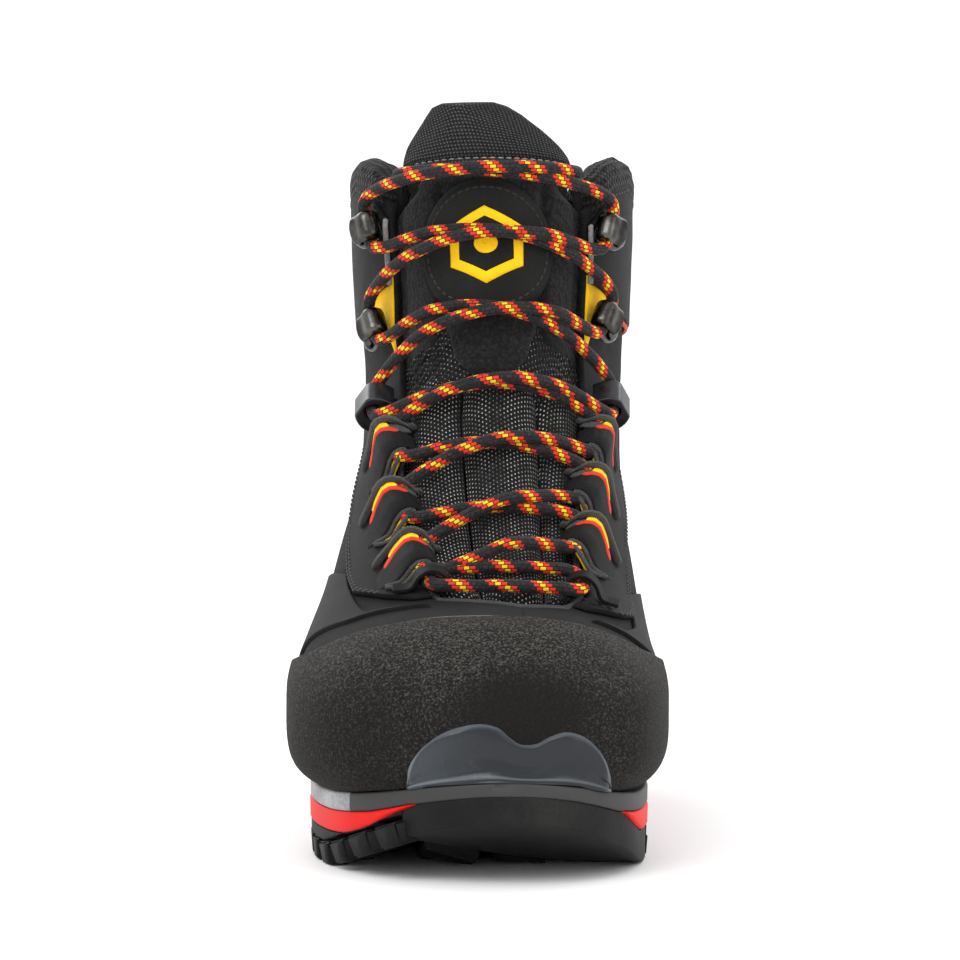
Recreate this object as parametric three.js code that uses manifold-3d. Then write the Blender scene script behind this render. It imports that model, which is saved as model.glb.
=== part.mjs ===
// A right mountaineering boot in millimetres, +Z up, standing on its lugs.
// The toe points along -Y and the inner side of the foot, called medial, faces +X.
// The upper is laid on a form: u runs from the toe (0) to the tongue's top (19) and v runs round
// it, 0 on the ridge over the instep, positive on the medial side, 1 on the base or the heel line.
import * as THREE from 'three';
import { mergeVertices } from 'three/addons/utils/BufferGeometryUtils.js';
import Module from 'manifold-3d';

const { lerp, clamp, smoothstep } = THREE.MathUtils;
const wasm = await Module();
wasm.setup();

// Overall sizes
const bootLength = 300;
const ballWidth = 108.5;
const tongueTop = 233;

// Sole, each layer measured under the ball of the foot, with what the heel adds
const outsoleThickness = 9.5;
const redThickness = 7.5;
const greyThickness = 6.5;
const heelRubberExtra = 1.5;
const heelRedExtra = 5.5;
const heelGreyExtra = 2.5;
const lugDepth = 5;
const slotWidth = 4.5;
const slotPitch = 13.5;
const toeSpring = 19;
const toeLift = 7.5;
const thinnestToeRubber = 4;
const lugSlotLength = 17;
const heelSlotLength = 15;
const platformFront = -136;
const platformSlant = 0.2;
const archFront = -8;
const archBack = 46;
const ledgeWall = 1.2;

// Upper, as heights above the form
const shellWall = 2;
const stiffenerWall = 1.1;
const liningWall = 3.4;
const footbedThickness = 4;
const panelWall = 1.7;
const randWall = 1.9;
const tonguePad = 4;

// Clearances
const faceGap = 0.3;
const layerGap = 0.6;
const innerGap = 0.8;
const jointGap = 12;

// Cuff and throat
const footTopHeight = 137;
const cuffSlope = 0.15;
const cuffSlopeStart = 20;
const throatStart = 4.4;
const flapStart = 16.5;
const badgeRadius = 20;
const badgeThickness = 1.4;

// Lace and its fittings
const laceDiameter = 4;
const laceSides = 8;
const agletLength = 18;
const hookWidth = 9;
const hookSheet = 1.2;
const loopWidth = 9;
const smallLoopWidth = 5;
const loopSheet = 1.2;
const eyeletHeight = 9;
const eyeletWidth = 9;

const shell = { inner: 0, outer: shellWall };
const panel = { inner: shellWall + layerGap, outer: shellWall + layerGap + panelWall };
const stiffener = { inner: -innerGap - stiffenerWall, outer: -innerGap };
const board = { inner: stiffener.inner, outer: stiffener.outer - faceGap };
const lining = { inner: stiffener.inner - innerGap - liningWall, outer: stiffener.inner - innerGap };
const laceRadius = laceDiameter / 2;
const soleTopForefoot = outsoleThickness + redThickness + greyThickness;
const seat = soleTopForefoot + shellWall + faceGap + 0.1;

// Stations of the form for a boot 300 long, 108.5 wide and 233 high. Each row holds the ridge's
// y and height, the base's y and height, the centre's x, the lateral and medial half widths,
// the share of the height where it is widest, and how square it is above and below that level.
const drawn = { length: 300, width: 108.5, height: 233 };
const stations = [
  [-140.5, 22.1, -140.5, 5.6, 10.5, 15.0, 15.0, 0.50, 2.0, 2.2],
  [-136.5, 30.6, -137.0, 0.6, 9.5, 27.0, 25.0, 0.48, 2.1, 2.8],
  [-128.5, 38.1, -131.0, 0.0, 7.0, 39.5, 36.5, 0.46, 2.2, 3.6],
  [-116.0, 45.1, -120.0, 0.0, 4.2, 47.5, 44.5, 0.46, 2.2, 4.5],
  [-95.0, 49.1, -100.0, 0.0, 1.6, 53.0, 51.0, 0.45, 2.2, 5.2],
  [-72.0, 54.6, -75.0, 0.0, 0.3, 54.5, 54.0, 0.43, 2.2, 5.5],
  [-50.0, 67.6, -45.0, 0.0, 0.6, 53.0, 52.0, 0.40, 2.1, 5.0],
  [-30.0, 84.6, -10.0, 0.8, 1.6, 49.5, 49.0, 0.40, 2.1, 4.0],
  [-14.0, 102.1, 30.0, 1.4, 2.6, 46.5, 46.0, 0.42, 2.1, 3.8],
  [-3.0, 119.6, 74.0, 0.4, 3.4, 42.5, 42.5, 0.46, 2.1, 3.6],
  [2.0, 133.1, 116.0, 0.6, 3.8, 40.0, 40.5, 0.50, 2.1, 3.3],
  [4.5, 143.1, 137.0, 9.6, 4.0, 39.0, 40.0, 0.52, 2.1, 2.8],
  [6.0, 152.1, 143.0, 31.6, 4.1, 39.0, 40.5, 0.54, 2.1, 2.3],
  [7.0, 160.1, 138.0, 59.6, 4.2, 39.5, 41.5, 0.54, 2.1, 2.2],
  [8.0, 167.6, 128.0, 87.6, 4.3, 40.5, 42.0, 0.53, 2.1, 2.2],
  [9.0, 175.1, 121.5, 113.6, 4.3, 41.5, 42.5, 0.52, 2.1, 2.2],
  [10.0, 183.1, 119.0, 137.6, 4.3, 42.0, 43.0, 0.51, 2.1, 2.2],
  [11.0, 191.6, 118.5, 158.6, 4.3, 42.0, 43.0, 0.50, 2.1, 2.2],
  [12.0, 201.1, 118.5, 176.6, 4.3, 42.0, 43.0, 0.50, 2.1, 2.2],
  [12.5, 212.1, 118.5, 194.6, 4.3, 42.0, 43.0, 0.50, 2.1, 2.2],
];
const lastStation = stations.length - 1;
const turnRound = 2; // how much v grows once round the form
const gradeY = bootLength / drawn.length;
const gradeX = ballWidth / drawn.width;
const gradeZ = (tongueTop - seat) / (drawn.height - 25.9);

// The sole's plan outline, from the toe's tip round the medial side to the lateral side.
const outlinePoints = [
  [9, -150], [30, -143], [45, -122], [51.5, -92], [52, -68], [46, -35], [38, 0], [36, 40],
  [37.5, 80], [37, 110], [28, 138], [3, 150], [-23, 139], [-33, 112], [-36, 80], [-39, 40],
  [-45, 0], [-50.5, -35], [-52, -60], [-48.5, -90], [-37, -120], [-15, -142],
];

// Edges of the throat over the tongue, as [u, v]
const lateralEdge = [
  [throatStart, 0.065], [4.7, -0.06], [5.9, -0.12], [7.1, -0.165], [8.3, -0.19], [10, -0.23],
  [11.7, -0.26], [15, -0.26], [17, -0.23],
];
const medialEdge = [
  [throatStart, 0.065], [4.7, 0.15], [5.2, 0.185], [6.1, 0.19], [7.3, 0.205], [8.8, 0.25],
  [11.6, 0.245], [14.7, 0.235], [17, 0.215],
];

// Lace guides from the bottom eyelets to the upper hooks: the row u of each, and how far it stands
// back from the throat's edge
const guideRows = {
  lateral: [4.95, 5.6, 6.75, 8, 9.15, 12.1, 15.1],
  medial: [5.15, 6.3, 7.3, 8.4, 9.6, 12.2, 14.9],
};
const guideInsets = [0, 0, 0, 0, 5.5, 6, 6.3];
const firstLoop = 1;
const lockLevel = 4;
const firstHook = 5;
const topHook = 6;

// ---- Helpers ----

function along(table, x) {
  if (x <= table[0][0]) return table[0][1];
  for (let i = 1; i < table.length; i += 1) {
    const [x0, y0] = table[i - 1];
    const [x1, y1] = table[i];
    if (x <= x1) return lerp(y0, y1, (x - x0) / (x1 - x0));
  }
  return table[table.length - 1][1];
}

function bisect(test, low, high) {
  let [a, b] = [low, high];
  for (let i = 0; i < 30; i += 1) {
    const middle = (a + b) / 2;
    if (test(middle) < 0) a = middle;
    else b = middle;
  }
  return (a + b) / 2;
}

function heelShare(y) {
  return smoothstep(y, -30 * gradeY, 60 * gradeY);
}

// How far along the toe's curl a point lies: 0 behind the ball, 1 at the tip.
function toeShare(y) {
  return Math.max(0, (-92 * gradeY - y) / (58 * gradeY));
}

function soleTop(y) {
  const heelExtra = heelRubberExtra + heelRedExtra + heelGreyExtra;
  return soleTopForefoot + toeLift * toeShare(y) ** 2.2 + heelExtra * heelShare(y);
}

function soleBottom(y) {
  return toeSpring * toeShare(y) ** 1.35;
}

// ---- The form ----

function station(u) {
  const t = clamp(u, 0, lastStation - 1e-9);
  const i = Math.floor(t);
  const f = t - i;
  const row = (k) => stations[clamp(k, 0, lastStation)];
  const [p0, p1, p2, p3] = [row(i - 1), row(i), row(i + 1), row(i + 2)];
  return p1.map((_, k) => 0.5 * (2 * p1[k] + (p2[k] - p0[k]) * f
    + (2 * p0[k] - 5 * p1[k] + 4 * p2[k] - p3[k]) * f * f
    + (3 * p1[k] - p0[k] - 3 * p2[k] + p3[k]) * f * f * f));
}

function formPoint(u, v) {
  const [ry, rz, by, bz, xc, lateral, medial, level, round, square] = station(u);
  const s = Math.sin(Math.PI * v);
  const c = Math.cos(Math.PI * v);
  const power = 2 / (c > 0 ? round : square);
  const across = Math.sign(s) * Math.abs(s) ** power;
  const up = Math.sign(c) * Math.abs(c) ** power;
  const half = s > 0 ? medial : lateral;
  const h = level + up * (up > 0 ? 1 - level : level);
  const baseY = by * gradeY;
  const baseZ = soleTop(baseY) + seat - soleTopForefoot + bz * gradeZ;
  const ridgeZ = seat + rz * gradeZ;
  return new THREE.Vector3(
    (xc + half * across) * gradeX,
    lerp(baseY, ry * gradeY, h),
    lerp(baseZ, ridgeZ, h),
  );
}

// Axes of the form at (u, v): n out of it, t towards the top and s towards larger v. One unit of v
// covers perV along s, and one unit of u covers perU along t and `skew` along s.
function formAxes(u, v) {
  const du = 0.02;
  const dv = 0.004;
  const low = clamp(u - du, 0, lastStation - 2 * du);
  const alongU = formPoint(low + 2 * du, v).sub(formPoint(low, v)).divideScalar(2 * du);
  const alongV = formPoint(u, v + dv).sub(formPoint(u, v - dv)).divideScalar(2 * dv);
  const n = new THREE.Vector3().crossVectors(alongV, alongU).normalize();
  const s = alongV.clone().normalize();
  const t = new THREE.Vector3().crossVectors(n, s);
  return { n, s, t, perU: alongU.dot(t), skew: alongU.dot(s), perV: alongV.length() };
}

// The (u, v) that lies `across` and `up` millimetres from a place, along its s and t.
function near({ u, v, perU, skew, perV }, across, up) {
  const rows = up / perU;
  return [u + rows, v + (across - skew * rows) / perV];
}

function offsetPoint(u, v, height) {
  return formPoint(u, v).addScaledVector(formAxes(u, v).n, height);
}

// ---- Solids ----

function geometryOf(points, faces) {
  const geometry = new THREE.BufferGeometry().setFromPoints(points);
  geometry.setIndex(faces.flat());
  return geometry;
}

// A thick sheet laid on the form, its two faces at fixed heights or at heights by (u, v, a). Rows
// below `joined` close on themselves round the form, and `capped` closes the first row into a tip.
function sheet({ rows, columns, at, inner, outer, joined = 0, capped = false }) {
  const points = [];
  for (const face of [outer, inner]) {
    const height = typeof face === 'function' ? face : () => face;
    for (let i = 0; i <= rows; i += 1) {
      for (let j = 0; j <= columns; j += 1) {
        const [u, v] = at(i / rows, j / columns);
        points.push(offsetPoint(u, v, height(u, v, i / rows)));
      }
    }
  }
  const stride = columns + 1;
  const id = (side, i, j) => {
    const column = i < joined && j === columns ? 0 : j;
    return side * (rows + 1) * stride + i * stride + column;
  };
  const faces = [];
  const quad = (a, b, c, d) => faces.push([a, b, c], [a, c, d]);
  for (let i = 0; i < rows; i += 1) {
    for (let j = 0; j < columns; j += 1) {
      quad(id(0, i, j), id(0, i, j + 1), id(0, i + 1, j + 1), id(0, i + 1, j));
      quad(id(1, i, j), id(1, i + 1, j), id(1, i + 1, j + 1), id(1, i, j + 1));
    }
    if (i >= joined - 1) {
      quad(id(0, i, 0), id(0, i + 1, 0), id(1, i + 1, 0), id(1, i, 0));
      quad(id(0, i + 1, columns), id(0, i, columns), id(1, i, columns), id(1, i + 1, columns));
    }
  }
  for (let j = 0; j < columns; j += 1) {
    quad(id(0, rows, j), id(0, rows, j + 1), id(1, rows, j + 1), id(1, rows, j));
    if (!capped) quad(id(0, 0, j + 1), id(0, 0, j), id(1, 0, j), id(1, 0, j + 1));
  }
  if (capped) {
    for (const side of [0, 1]) {
      const centre = new THREE.Vector3();
      for (let j = 0; j < columns; j += 1) centre.add(points[id(side, 0, j)]);
      points.push(centre.divideScalar(columns));
      const tip = points.length - 1;
      for (let j = 0; j < columns; j += 1) {
        const edge = side ? [id(1, 0, j), id(1, 0, j + 1)] : [id(0, 0, j + 1), id(0, 0, j)];
        faces.push([...edge, tip]);
      }
    }
  }
  return geometryOf(points, faces);
}

// Places a sheet by a row function u(a, b) and a column function v(u, b).
function byRows(u, v) {
  return (a, b) => {
    const row = u(a, b);
    return [row, v(row, b)];
  };
}

// Closed loops of equally many points, joined one to the next, with fans over both ends.
function loft(loops) {
  const count = loops[0].length;
  const points = loops.flat();
  const faces = [];
  for (let k = 0; k + 1 < loops.length; k += 1) {
    for (let j = 0; j < count; j += 1) {
      const [a, b] = [k * count + j, k * count + ((j + 1) % count)];
      faces.push([a, b, b + count], [a, b + count, a + count]);
    }
  }
  for (const [first, turned] of [[0, true], [points.length - count, false]]) {
    const centre = new THREE.Vector3();
    for (let j = 0; j < count; j += 1) centre.add(points[first + j]);
    points.push(centre.divideScalar(count));
    for (let j = 0; j < count; j += 1) {
      const edge = [first + j, first + ((j + 1) % count)];
      if (turned) edge.reverse();
      faces.push([...edge, points.length - 1]);
    }
  }
  return geometryOf(points, faces);
}

// Shares from 0 to 1 that lie closer together near both ends.
function crowded(share) {
  return share - (0.4 * Math.sin(2 * Math.PI * share)) / (2 * Math.PI);
}

// The form as a solid, raised by `height`, up to row `top`.
function formBlock(height, top, rows, columns) {
  const loops = [];
  for (let i = 0; i <= rows; i += 1) {
    const ring = [];
    for (let j = 0; j < columns; j += 1) {
      ring.push(offsetPoint(top * crowded(i / rows), (turnRound * j) / columns, height));
    }
    loops.push(ring);
  }
  return loft(loops);
}

function outward(geometry) {
  const merged = geometry.clone();
  merged.deleteAttribute('normal');
  merged.deleteAttribute('uv');
  const clean = merged.index ? merged : mergeVertices(merged, 1e-4);
  const index = clean.index.array;
  const p = clean.attributes.position;
  const [a, b, c] = [0, 0, 0].map(() => new THREE.Vector3());
  let volume = 0;
  for (let k = 0; k < index.length; k += 3) {
    a.fromBufferAttribute(p, index[k]);
    b.fromBufferAttribute(p, index[k + 1]);
    c.fromBufferAttribute(p, index[k + 2]);
    volume += a.dot(b.cross(c));
  }
  if (volume < 0) clean.setIndex(Array.from(index).reverse());
  return clean;
}

function solid(geometry) {
  const clean = mergeVertices(outward(geometry), 1e-4);
  return new wasm.Manifold(new wasm.Mesh({
    numProp: 3,
    vertProperties: new Float32Array(clean.attributes.position.array),
    triVerts: new Uint32Array(clean.index.array),
  }));
}

function meshed(body) {
  const { vertProperties, triVerts } = body.getMesh();
  const geometry = new THREE.BufferGeometry();
  geometry.setAttribute('position', new THREE.BufferAttribute(vertProperties, 3));
  geometry.setIndex(new THREE.BufferAttribute(triVerts, 1));
  return geometry;
}

// A block with a side view given as [y, z] points, wide enough to span the boot.
function sideCutter(profile) {
  const shape = new THREE.Shape(profile.map(([y, z]) => new THREE.Vector2(y, z)));
  const width = 2 * ballWidth;
  const block = new THREE.ExtrudeGeometry(shape, { depth: width, bevelEnabled: false });
  const axes = new THREE.Matrix4().makeBasis(
    new THREE.Vector3(0, 1, 0),
    new THREE.Vector3(0, 0, 1),
    new THREE.Vector3(1, 0, 0),
  );
  return solid(block.applyMatrix4(axes).translate(-width / 2, 0, 0));
}

function boxAt(sizes, centre, turn = 0) {
  return solid(new THREE.BoxGeometry(...sizes).rotateZ(turn).translate(...centre));
}

// ---- Sole ----

const outline = new THREE.CatmullRomCurve3(
  outlinePoints.map(([x, y]) => new THREE.Vector3(x * gradeX, y * gradeY, 0)),
  true,
  'centripetal',
);
const outlineSamples = outline.getPoints(330).slice(0, -1);
const heelSample = outlineSamples.reduce((best, p, k) => (p.y > outlineSamples[best].y ? k : best), 0);
const sideTables = [
  outlineSamples.slice(0, heelSample + 1).map((p) => [p.y, p.x]),
  [...outlineSamples.slice(heelSample), outlineSamples[0]].map((p) => [p.y, p.x]).reverse(),
];

function outlineX(y, side) {
  return along(sideTables[side], y);
}

// One layer of the sole between two heights, following the outline.
function soleLayer(bottom, top, from, to, inset = 0) {
  const count = 26;
  const loops = [];
  for (let k = 0; k <= count; k += 1) {
    const y = lerp(from, to, 0.5 - 0.5 * Math.cos((Math.PI * k) / count));
    const right = outlineX(y, 0) - inset;
    const left = outlineX(y, 1) + inset;
    const corner = (x, z) => new THREE.Vector3(x, y, z);
    const [low, high] = [bottom(y), top(y)];
    loops.push([corner(left, low), corner(right, low), corner(right, high), corner(left, high)]);
  }
  return solid(loft(loops));
}

const toeTip = -bootLength / 2 + 0.4;
const heelEnd = bootLength / 2 - 0.6;
const rubberTop = (y) => soleTop(y) - layerShare(y) * (redDepth(y) + greyDepth(y));
const redTop = (y) => soleTop(y) - layerShare(y) * greyDepth(y);

function redDepth(y) {
  return redThickness + heelRedExtra * heelShare(y);
}

function greyDepth(y) {
  return greyThickness + heelGreyExtra * heelShare(y);
}

// The foam layers thin out together where the rubber curls up to the toe.
function layerShare(y) {
  const room = soleTop(y) - soleBottom(y) - thinnestToeRubber;
  return Math.min(1, room / (redDepth(y) + greyDepth(y)));
}

// Everything behind the slanted line where the toe platform ends, or all in front of it.
function behindPlatform(gap) {
  const size = 2 * bootLength;
  const centre = [10, platformFront * gradeY + gap + size / 2, 0];
  return boxAt([size, size, size], centre, platformSlant);
}

function toePlatform() {
  return meshed(soleLayer(soleBottom, soleTop, toeTip, -110 * gradeY).subtract(behindPlatform(0)));
}

function midsole(bottom, top) {
  return meshed(soleLayer(bottom, top, toeTip, heelEnd).intersect(behindPlatform(faceGap)));
}

// Slots between the lugs, from each edge inwards, and two channels along the middle.
function lugCutters(from, to, slotLength) {
  const cutters = [];
  const height = 2 * lugDepth;
  const base = (y) => soleBottom(y) + lugDepth - height / 2;
  for (let y = from; y < to; y += slotPitch) {
    for (const side of [0, 1]) {
      const x = outlineX(y, side);
      const inwards = side ? 1 : -1;
      const centre = [x + inwards * (slotLength / 2 - 1), y, base(y)];
      cutters.push(boxAt([slotLength + 2, slotWidth, height], centre, inwards * -0.2));
    }
  }
  for (let y = from + slotPitch / 2; y < to - slotPitch / 2; y += slotPitch) {
    const middle = (outlineX(y, 0) + outlineX(y, 1)) / 2;
    const across = outlineX(y, 0) - outlineX(y, 1) - 2 * slotLength - slotWidth;
    cutters.push(boxAt([across, slotWidth, height], [middle, y, base(y)], 0.12));
  }
  return cutters;
}

function outsole(from, to, slotFrom, slotTo, slotLength) {
  let body = soleLayer(soleBottom, (y) => rubberTop(y) - faceGap, from, to);
  for (const cutter of lugCutters(slotFrom, slotTo, slotLength)) body = body.subtract(cutter);
  return body;
}

function forefootOutsole() {
  const end = archFront * gradeY;
  const body = outsole(toeTip, end, -122 * gradeY, end - 6, lugSlotLength);
  return meshed(body.intersect(behindPlatform(faceGap)));
}

function heelOutsole() {
  const start = archBack * gradeY;
  return meshed(outsole(start, heelEnd, start + 10, 134 * gradeY, heelSlotLength));
}

// ---- Upper of the foot ----

const throatRows = 6;
const shellRows = 19;
const shellColumns = 24;

function topRow(height, vAt) {
  const above = (u) => {
    const p = formPoint(u, vAt(u));
    return p.z - (height - cuffSlope * (p.y - cuffSlopeStart));
  };
  return bisect(above, 6.5, lastStation - 1e-6);
}

const roundV = (u, b, clear = 0) => lerp(
  along(medialEdge, u) + clear,
  turnRound + along(lateralEdge, u) - clear,
  b,
);

// Rows from the toe to the throat's foot, and from there to the level where the foot part ends.
// Behind the leg they crowd together at the heel's corner.
function footRow(a, b, rows, lower, start, height) {
  const i = Math.round(a * rows);
  if (i <= lower) return start * (i / lower) ** 0.9;
  const top = topRow(height, (u) => roundV(u, b));
  const crowding = lerp(1, 0.62, Math.sin(Math.PI * b));
  return lerp(start, top, ((i - lower) / (rows - lower)) ** crowding);
}

function upperShell() {
  return sheet({
    rows: shellRows,
    columns: shellColumns,
    at: byRows(
      (a, b) => footRow(a, b, shellRows, throatRows, throatStart, footTopHeight),
      (u, b) => roundV(u, b),
    ),
    ...shell,
    joined: throatRows + 1,
    capped: true,
  });
}

function footLining() {
  const [rows, lower, columns] = [15, 4, 16];
  const start = throatStart - 0.4;
  const wider = 0.055;
  return sheet({
    rows,
    columns,
    at: byRows(
      (a, b) => footRow(a, b, rows, lower, start, footTopHeight - 4),
      (u, b) => roundV(u + 0.4, b, u > start + 1e-6 ? wider : 0),
    ),
    ...lining,
    joined: lower + 1,
    capped: true,
  });
}

function footSheet(uRange, vRange, heights, rows, columns) {
  return sheet({
    rows,
    columns,
    at: (a, b) => [lerp(...uRange, a), lerp(...vRange, b)],
    inner: heights.inner,
    outer: heights.outer,
  });
}

function footbed() {
  const outer = lining.inner - 1.5 * innerGap;
  const heights = { inner: outer - footbedThickness, outer };
  return footSheet([2.4, 9.7], [0.87, 1.13], heights, 11, 4);
}

// The rubber rand: a wall round the foot between the sole and a line that dips at the arch.
const randLine = [
  [-160, 80], [-112, 80], [-108, 76.5], [-96, 66], [-80, 62], [-50, 57], [0, 54], [60, 58],
  [110, 66], [165, 70],
];
const randInner = shellWall + layerGap + 2 * faceGap;
const randOuter = randInner + randWall;
const heelTopRow = 13.6;
const blockGrid = [26, 28];

function rubberRand() {
  const ring = solid(formBlock(randOuter, heelTopRow, ...blockGrid))
    .subtract(solid(formBlock(randInner, heelTopRow + 0.2, ...blockGrid)));
  const sky = 3 * tongueTop;
  const line = randLine.map(([y, z]) => [y * gradeY, seat + (z - 25.9) * gradeZ]);
  const above = [...line, [line[line.length - 1][0], sky], [line[0][0], sky]];
  const floor = [];
  const [front, back] = [randLine[0][0], randLine[randLine.length - 1][0]];
  for (let y = front; y <= back; y += 12.5) {
    floor.push([y * gradeY, soleTop(y * gradeY) + faceGap]);
  }
  const below = [...floor.reverse(), [floor[floor.length - 1][0], -50], [floor[0][0], -50]];
  return meshed(ring.subtract(sideCutter(above)).subtract(sideCutter(below)));
}

// A hard plastic ledge for a crampon's bail, at the toe or at the heel. It stands on the sole
// and is hollowed to fit the rand behind it.
function bailLedge(end, xFrom, xTo, height, topAt) {
  const count = 14;
  const [bottom, shoulder, top] = [[], [], []];
  const edge = end < 0 ? -1 : 1;
  const foot = soleTop(end * bootLength / 2) + faceGap;
  for (let k = 0; k <= count; k += 1) {
    const share = k / count;
    const x = lerp(xFrom, xTo, share) * gradeX;
    const y = edgeY(x, edge) - edge * ledgeWall;
    bottom.push(new THREE.Vector3(x, y, foot));
    shoulder.push(new THREE.Vector3(x, y - edge * 0.6, foot + 0.35 * height));
    top.push(new THREE.Vector3(x, y - edge * 3.5, foot + height * topAt(2 * share - 1)));
  }
  const inside = edge * (bootLength / 2 - 30);
  for (const loop of [bottom, shoulder, top]) {
    const z = loop[0].z;
    loop.push(new THREE.Vector3(xTo * gradeX, inside, z), new THREE.Vector3(xFrom * gradeX, inside, z));
  }
  const block = solid(loft([bottom, shoulder, top]));
  return meshed(block.subtract(solid(formBlock(randOuter + faceGap, heelTopRow, ...blockGrid))));
}

function edgeY(x, edge) {
  const ends = outlineSamples.filter((p) => p.y * edge > bootLength / 4);
  const sorted = ends.map((p) => [p.x, p.y]).sort((a, b) => a[0] - b[0]);
  return along(sorted, x);
}

function toeInsert() {
  return bailLedge(-1, -21, 40, 16, (t) => 0.78 + 0.24 * Math.abs(Math.sin(Math.PI * t)) ** 0.8);
}

function heelInsert() {
  return bailLedge(1, -24, 26, 13, () => 1);
}

// The facing beside the throat. It starts narrow at its foot and then keeps one width.
function laceFacing(edgeTable, sign) {
  const start = throatStart + 0.55;
  const setBack = 0.012;
  const width = 0.12;
  const spread = (u) => Math.min(1, (u - throatStart + 0.1) / 1.2);
  const outerEdge = (b) => (u) => along(edgeTable, u) + sign * width * b;
  return sheet({
    rows: 14,
    columns: 4,
    at: byRows(
      (a, b) => lerp(start, topRow(footTopHeight - 1, outerEdge(b)), a),
      (u, b) => along(edgeTable, u) + sign * (setBack + width * spread(u) * b),
    ),
    ...panel,
  });
}

// ---- Cuff ----

const collarLine = [
  [0.2, 204], [0.26, 209], [0.32, 214], [0.4, 215.5], [0.5, 210], [0.65, 203], [0.85, 199], [1, 198],
];

function collarHeight(v, drop = 0) {
  const w = v > 1 ? turnRound - v : v;
  return seat + (along(collarLine, w) - drop - 25.9) * gradeZ;
}

function collarRow(vAt, drop) {
  return bisect((u) => formPoint(u, vAt(u)).z - collarHeight(vAt(u), drop), 9, lastStation - 1e-6);
}

const cuffBottomHeight = footTopHeight + jointGap;
const panelBottom = cuffBottomHeight + 18;

function cuffSheet({ rows, columns, bottom, drop, inner, outer, from = 0, to = 1, clear = 0 }) {
  const vAt = (b) => (u) => roundV(u, lerp(from, to, b), clear);
  return sheet({
    rows,
    columns,
    at: byRows(
      (a, b) => lerp(topRow(bottom, vAt(b)), collarRow(vAt(b), drop), a),
      (u, b) => vAt(b)(u),
    ),
    inner,
    outer,
  });
}

function cuffShell() {
  return cuffSheet({ rows: 6, columns: 20, bottom: cuffBottomHeight, drop: 3, ...shell });
}

function cuffPanel(from, to) {
  return cuffSheet({
    rows: 7, columns: 9, bottom: panelBottom, drop: 9, ...panel, from, to, clear: 0.01,
  });
}

// The bright patch that shows under the lower hook, below the cuff panel's cut-out.
function hookBacking(edgeTable, sign) {
  const width = 0.13;
  const vAt = (b) => (u) => along(edgeTable, u) + sign * (0.008 + width * b);
  return sheet({
    rows: 5,
    columns: 5,
    at: byRows(
      (a, b) => lerp(topRow(cuffBottomHeight + 1.5, vAt(b)), topRow(panelBottom - 1, vAt(b)), a),
      (u, b) => vAt(b)(u),
    ),
    ...panel,
  });
}

function collarPadding() {
  const thickness = 8;
  return cuffSheet({
    rows: 5,
    columns: 16,
    bottom: cuffBottomHeight + 2,
    drop: 0,
    inner: (u, v, a) => stiffener.outer - thickness + 3 * (1 - a),
    outer: stiffener.outer,
    clear: 0.06,
  });
}

function ankleGusset() {
  const vAt = (b) => (u) => roundV(u, b);
  return sheet({
    rows: 2,
    columns: 24,
    at: byRows(
      (a, b) => lerp(topRow(footTopHeight + 0.6, vAt(b)), topRow(cuffBottomHeight - 0.6, vAt(b)), a),
      (u, b) => roundV(u, b),
    ),
    inner: 0.2,
    outer: shellWall - 0.4,
  });
}

// ---- Tongue ----

const tongueStart = throatStart + 0.55;
const lowerPadEnd = 8.2;
const knitEnd = 9.6;
const sidePadRise = 2.2;
const centrePadRise = 3;
const knitRise = 1.6;
const tuck = 0.035;
const throatClear = 0.018;
const tongueSeams = {
  lateral: [[4.7, 0.01], [5.7, -0.005], [8.3, -0.055]],
  medial: [[4.7, 0.11], [5.9, 0.12], [8.3, 0.115]],
};
const tongueEdge = innerGap + faceGap;
const tongueInner = -tonguePad - innerGap;

// Padded between the throat's edges or the seams, and thin where it goes under the facings.
function crown(u, v, from, to, rise) {
  const low = Math.max(from(u), along(lateralEdge, u) + throatClear);
  const high = Math.min(to(u), along(medialEdge, u) - throatClear);
  const share = clamp((v - low) / (high - low), 0, 1);
  return -tongueEdge + rise * (1 - (2 * share - 1) ** 4);
}

function tonguePanel(from, to, rise, columns) {
  return sheet({
    rows: 8,
    columns,
    at: byRows((a) => lerp(tongueStart, lowerPadEnd, a), (u, b) => lerp(from(u), to(u), b)),
    inner: tongueInner,
    outer: (u, v) => crown(u, v, from, to, rise),
  });
}

const seamGap = 0.003;
const tongueCrown = 2.8;
const foldGap = 0.1;
const rowGap = 0.04;
const flapEnd = 18.53;
const badgeHeight = shellWall + layerGap;
const badgePlace = [13.3, 0.002];
const lateralSeam = (u) => along(tongueSeams.lateral, u);
const medialSeam = (u) => along(tongueSeams.medial, u);
const tuckAt = (u) => tuck * smoothstep(u, throatStart, throatStart + 0.8);
const lateralTuck = (u) => along(lateralEdge, u) - tuckAt(u);
const medialTuck = (u) => along(medialEdge, u) + tuckAt(u);

// How much of the padding is left near the fold between the tongue and its top flap.
function foldShare(u) {
  return lerp(0.25, 1, smoothstep(Math.abs(u - flapStart), 0, 1));
}

function tongueSpan(range, rows, left, right, rise) {
  const rowAt = (a) => lerp(...range, a);
  return sheet({
    rows,
    columns: 8,
    at: byRows(rowAt, (u, b) => lerp(left(u), right(u), b)),
    inner: (u) => tongueInner * lerp(0.6, 1, foldShare(u)),
    outer: (u, v) => crown(u, v, left, right, rise * foldShare(u)),
  });
}

function tongueKnit() {
  return tongueSpan([lowerPadEnd + rowGap, knitEnd], 2, lateralTuck, medialTuck, knitRise);
}

function tongueUpper() {
  const slim = (u) => 0.09 * smoothstep(u, 14.9, 15.9);
  return tongueSpan(
    [knitEnd + foldGap, flapStart - foldGap],
    10,
    (u) => lateralTuck(u) + slim(u),
    (u) => medialTuck(u) - slim(u),
    tongueCrown,
  );
}

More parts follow.
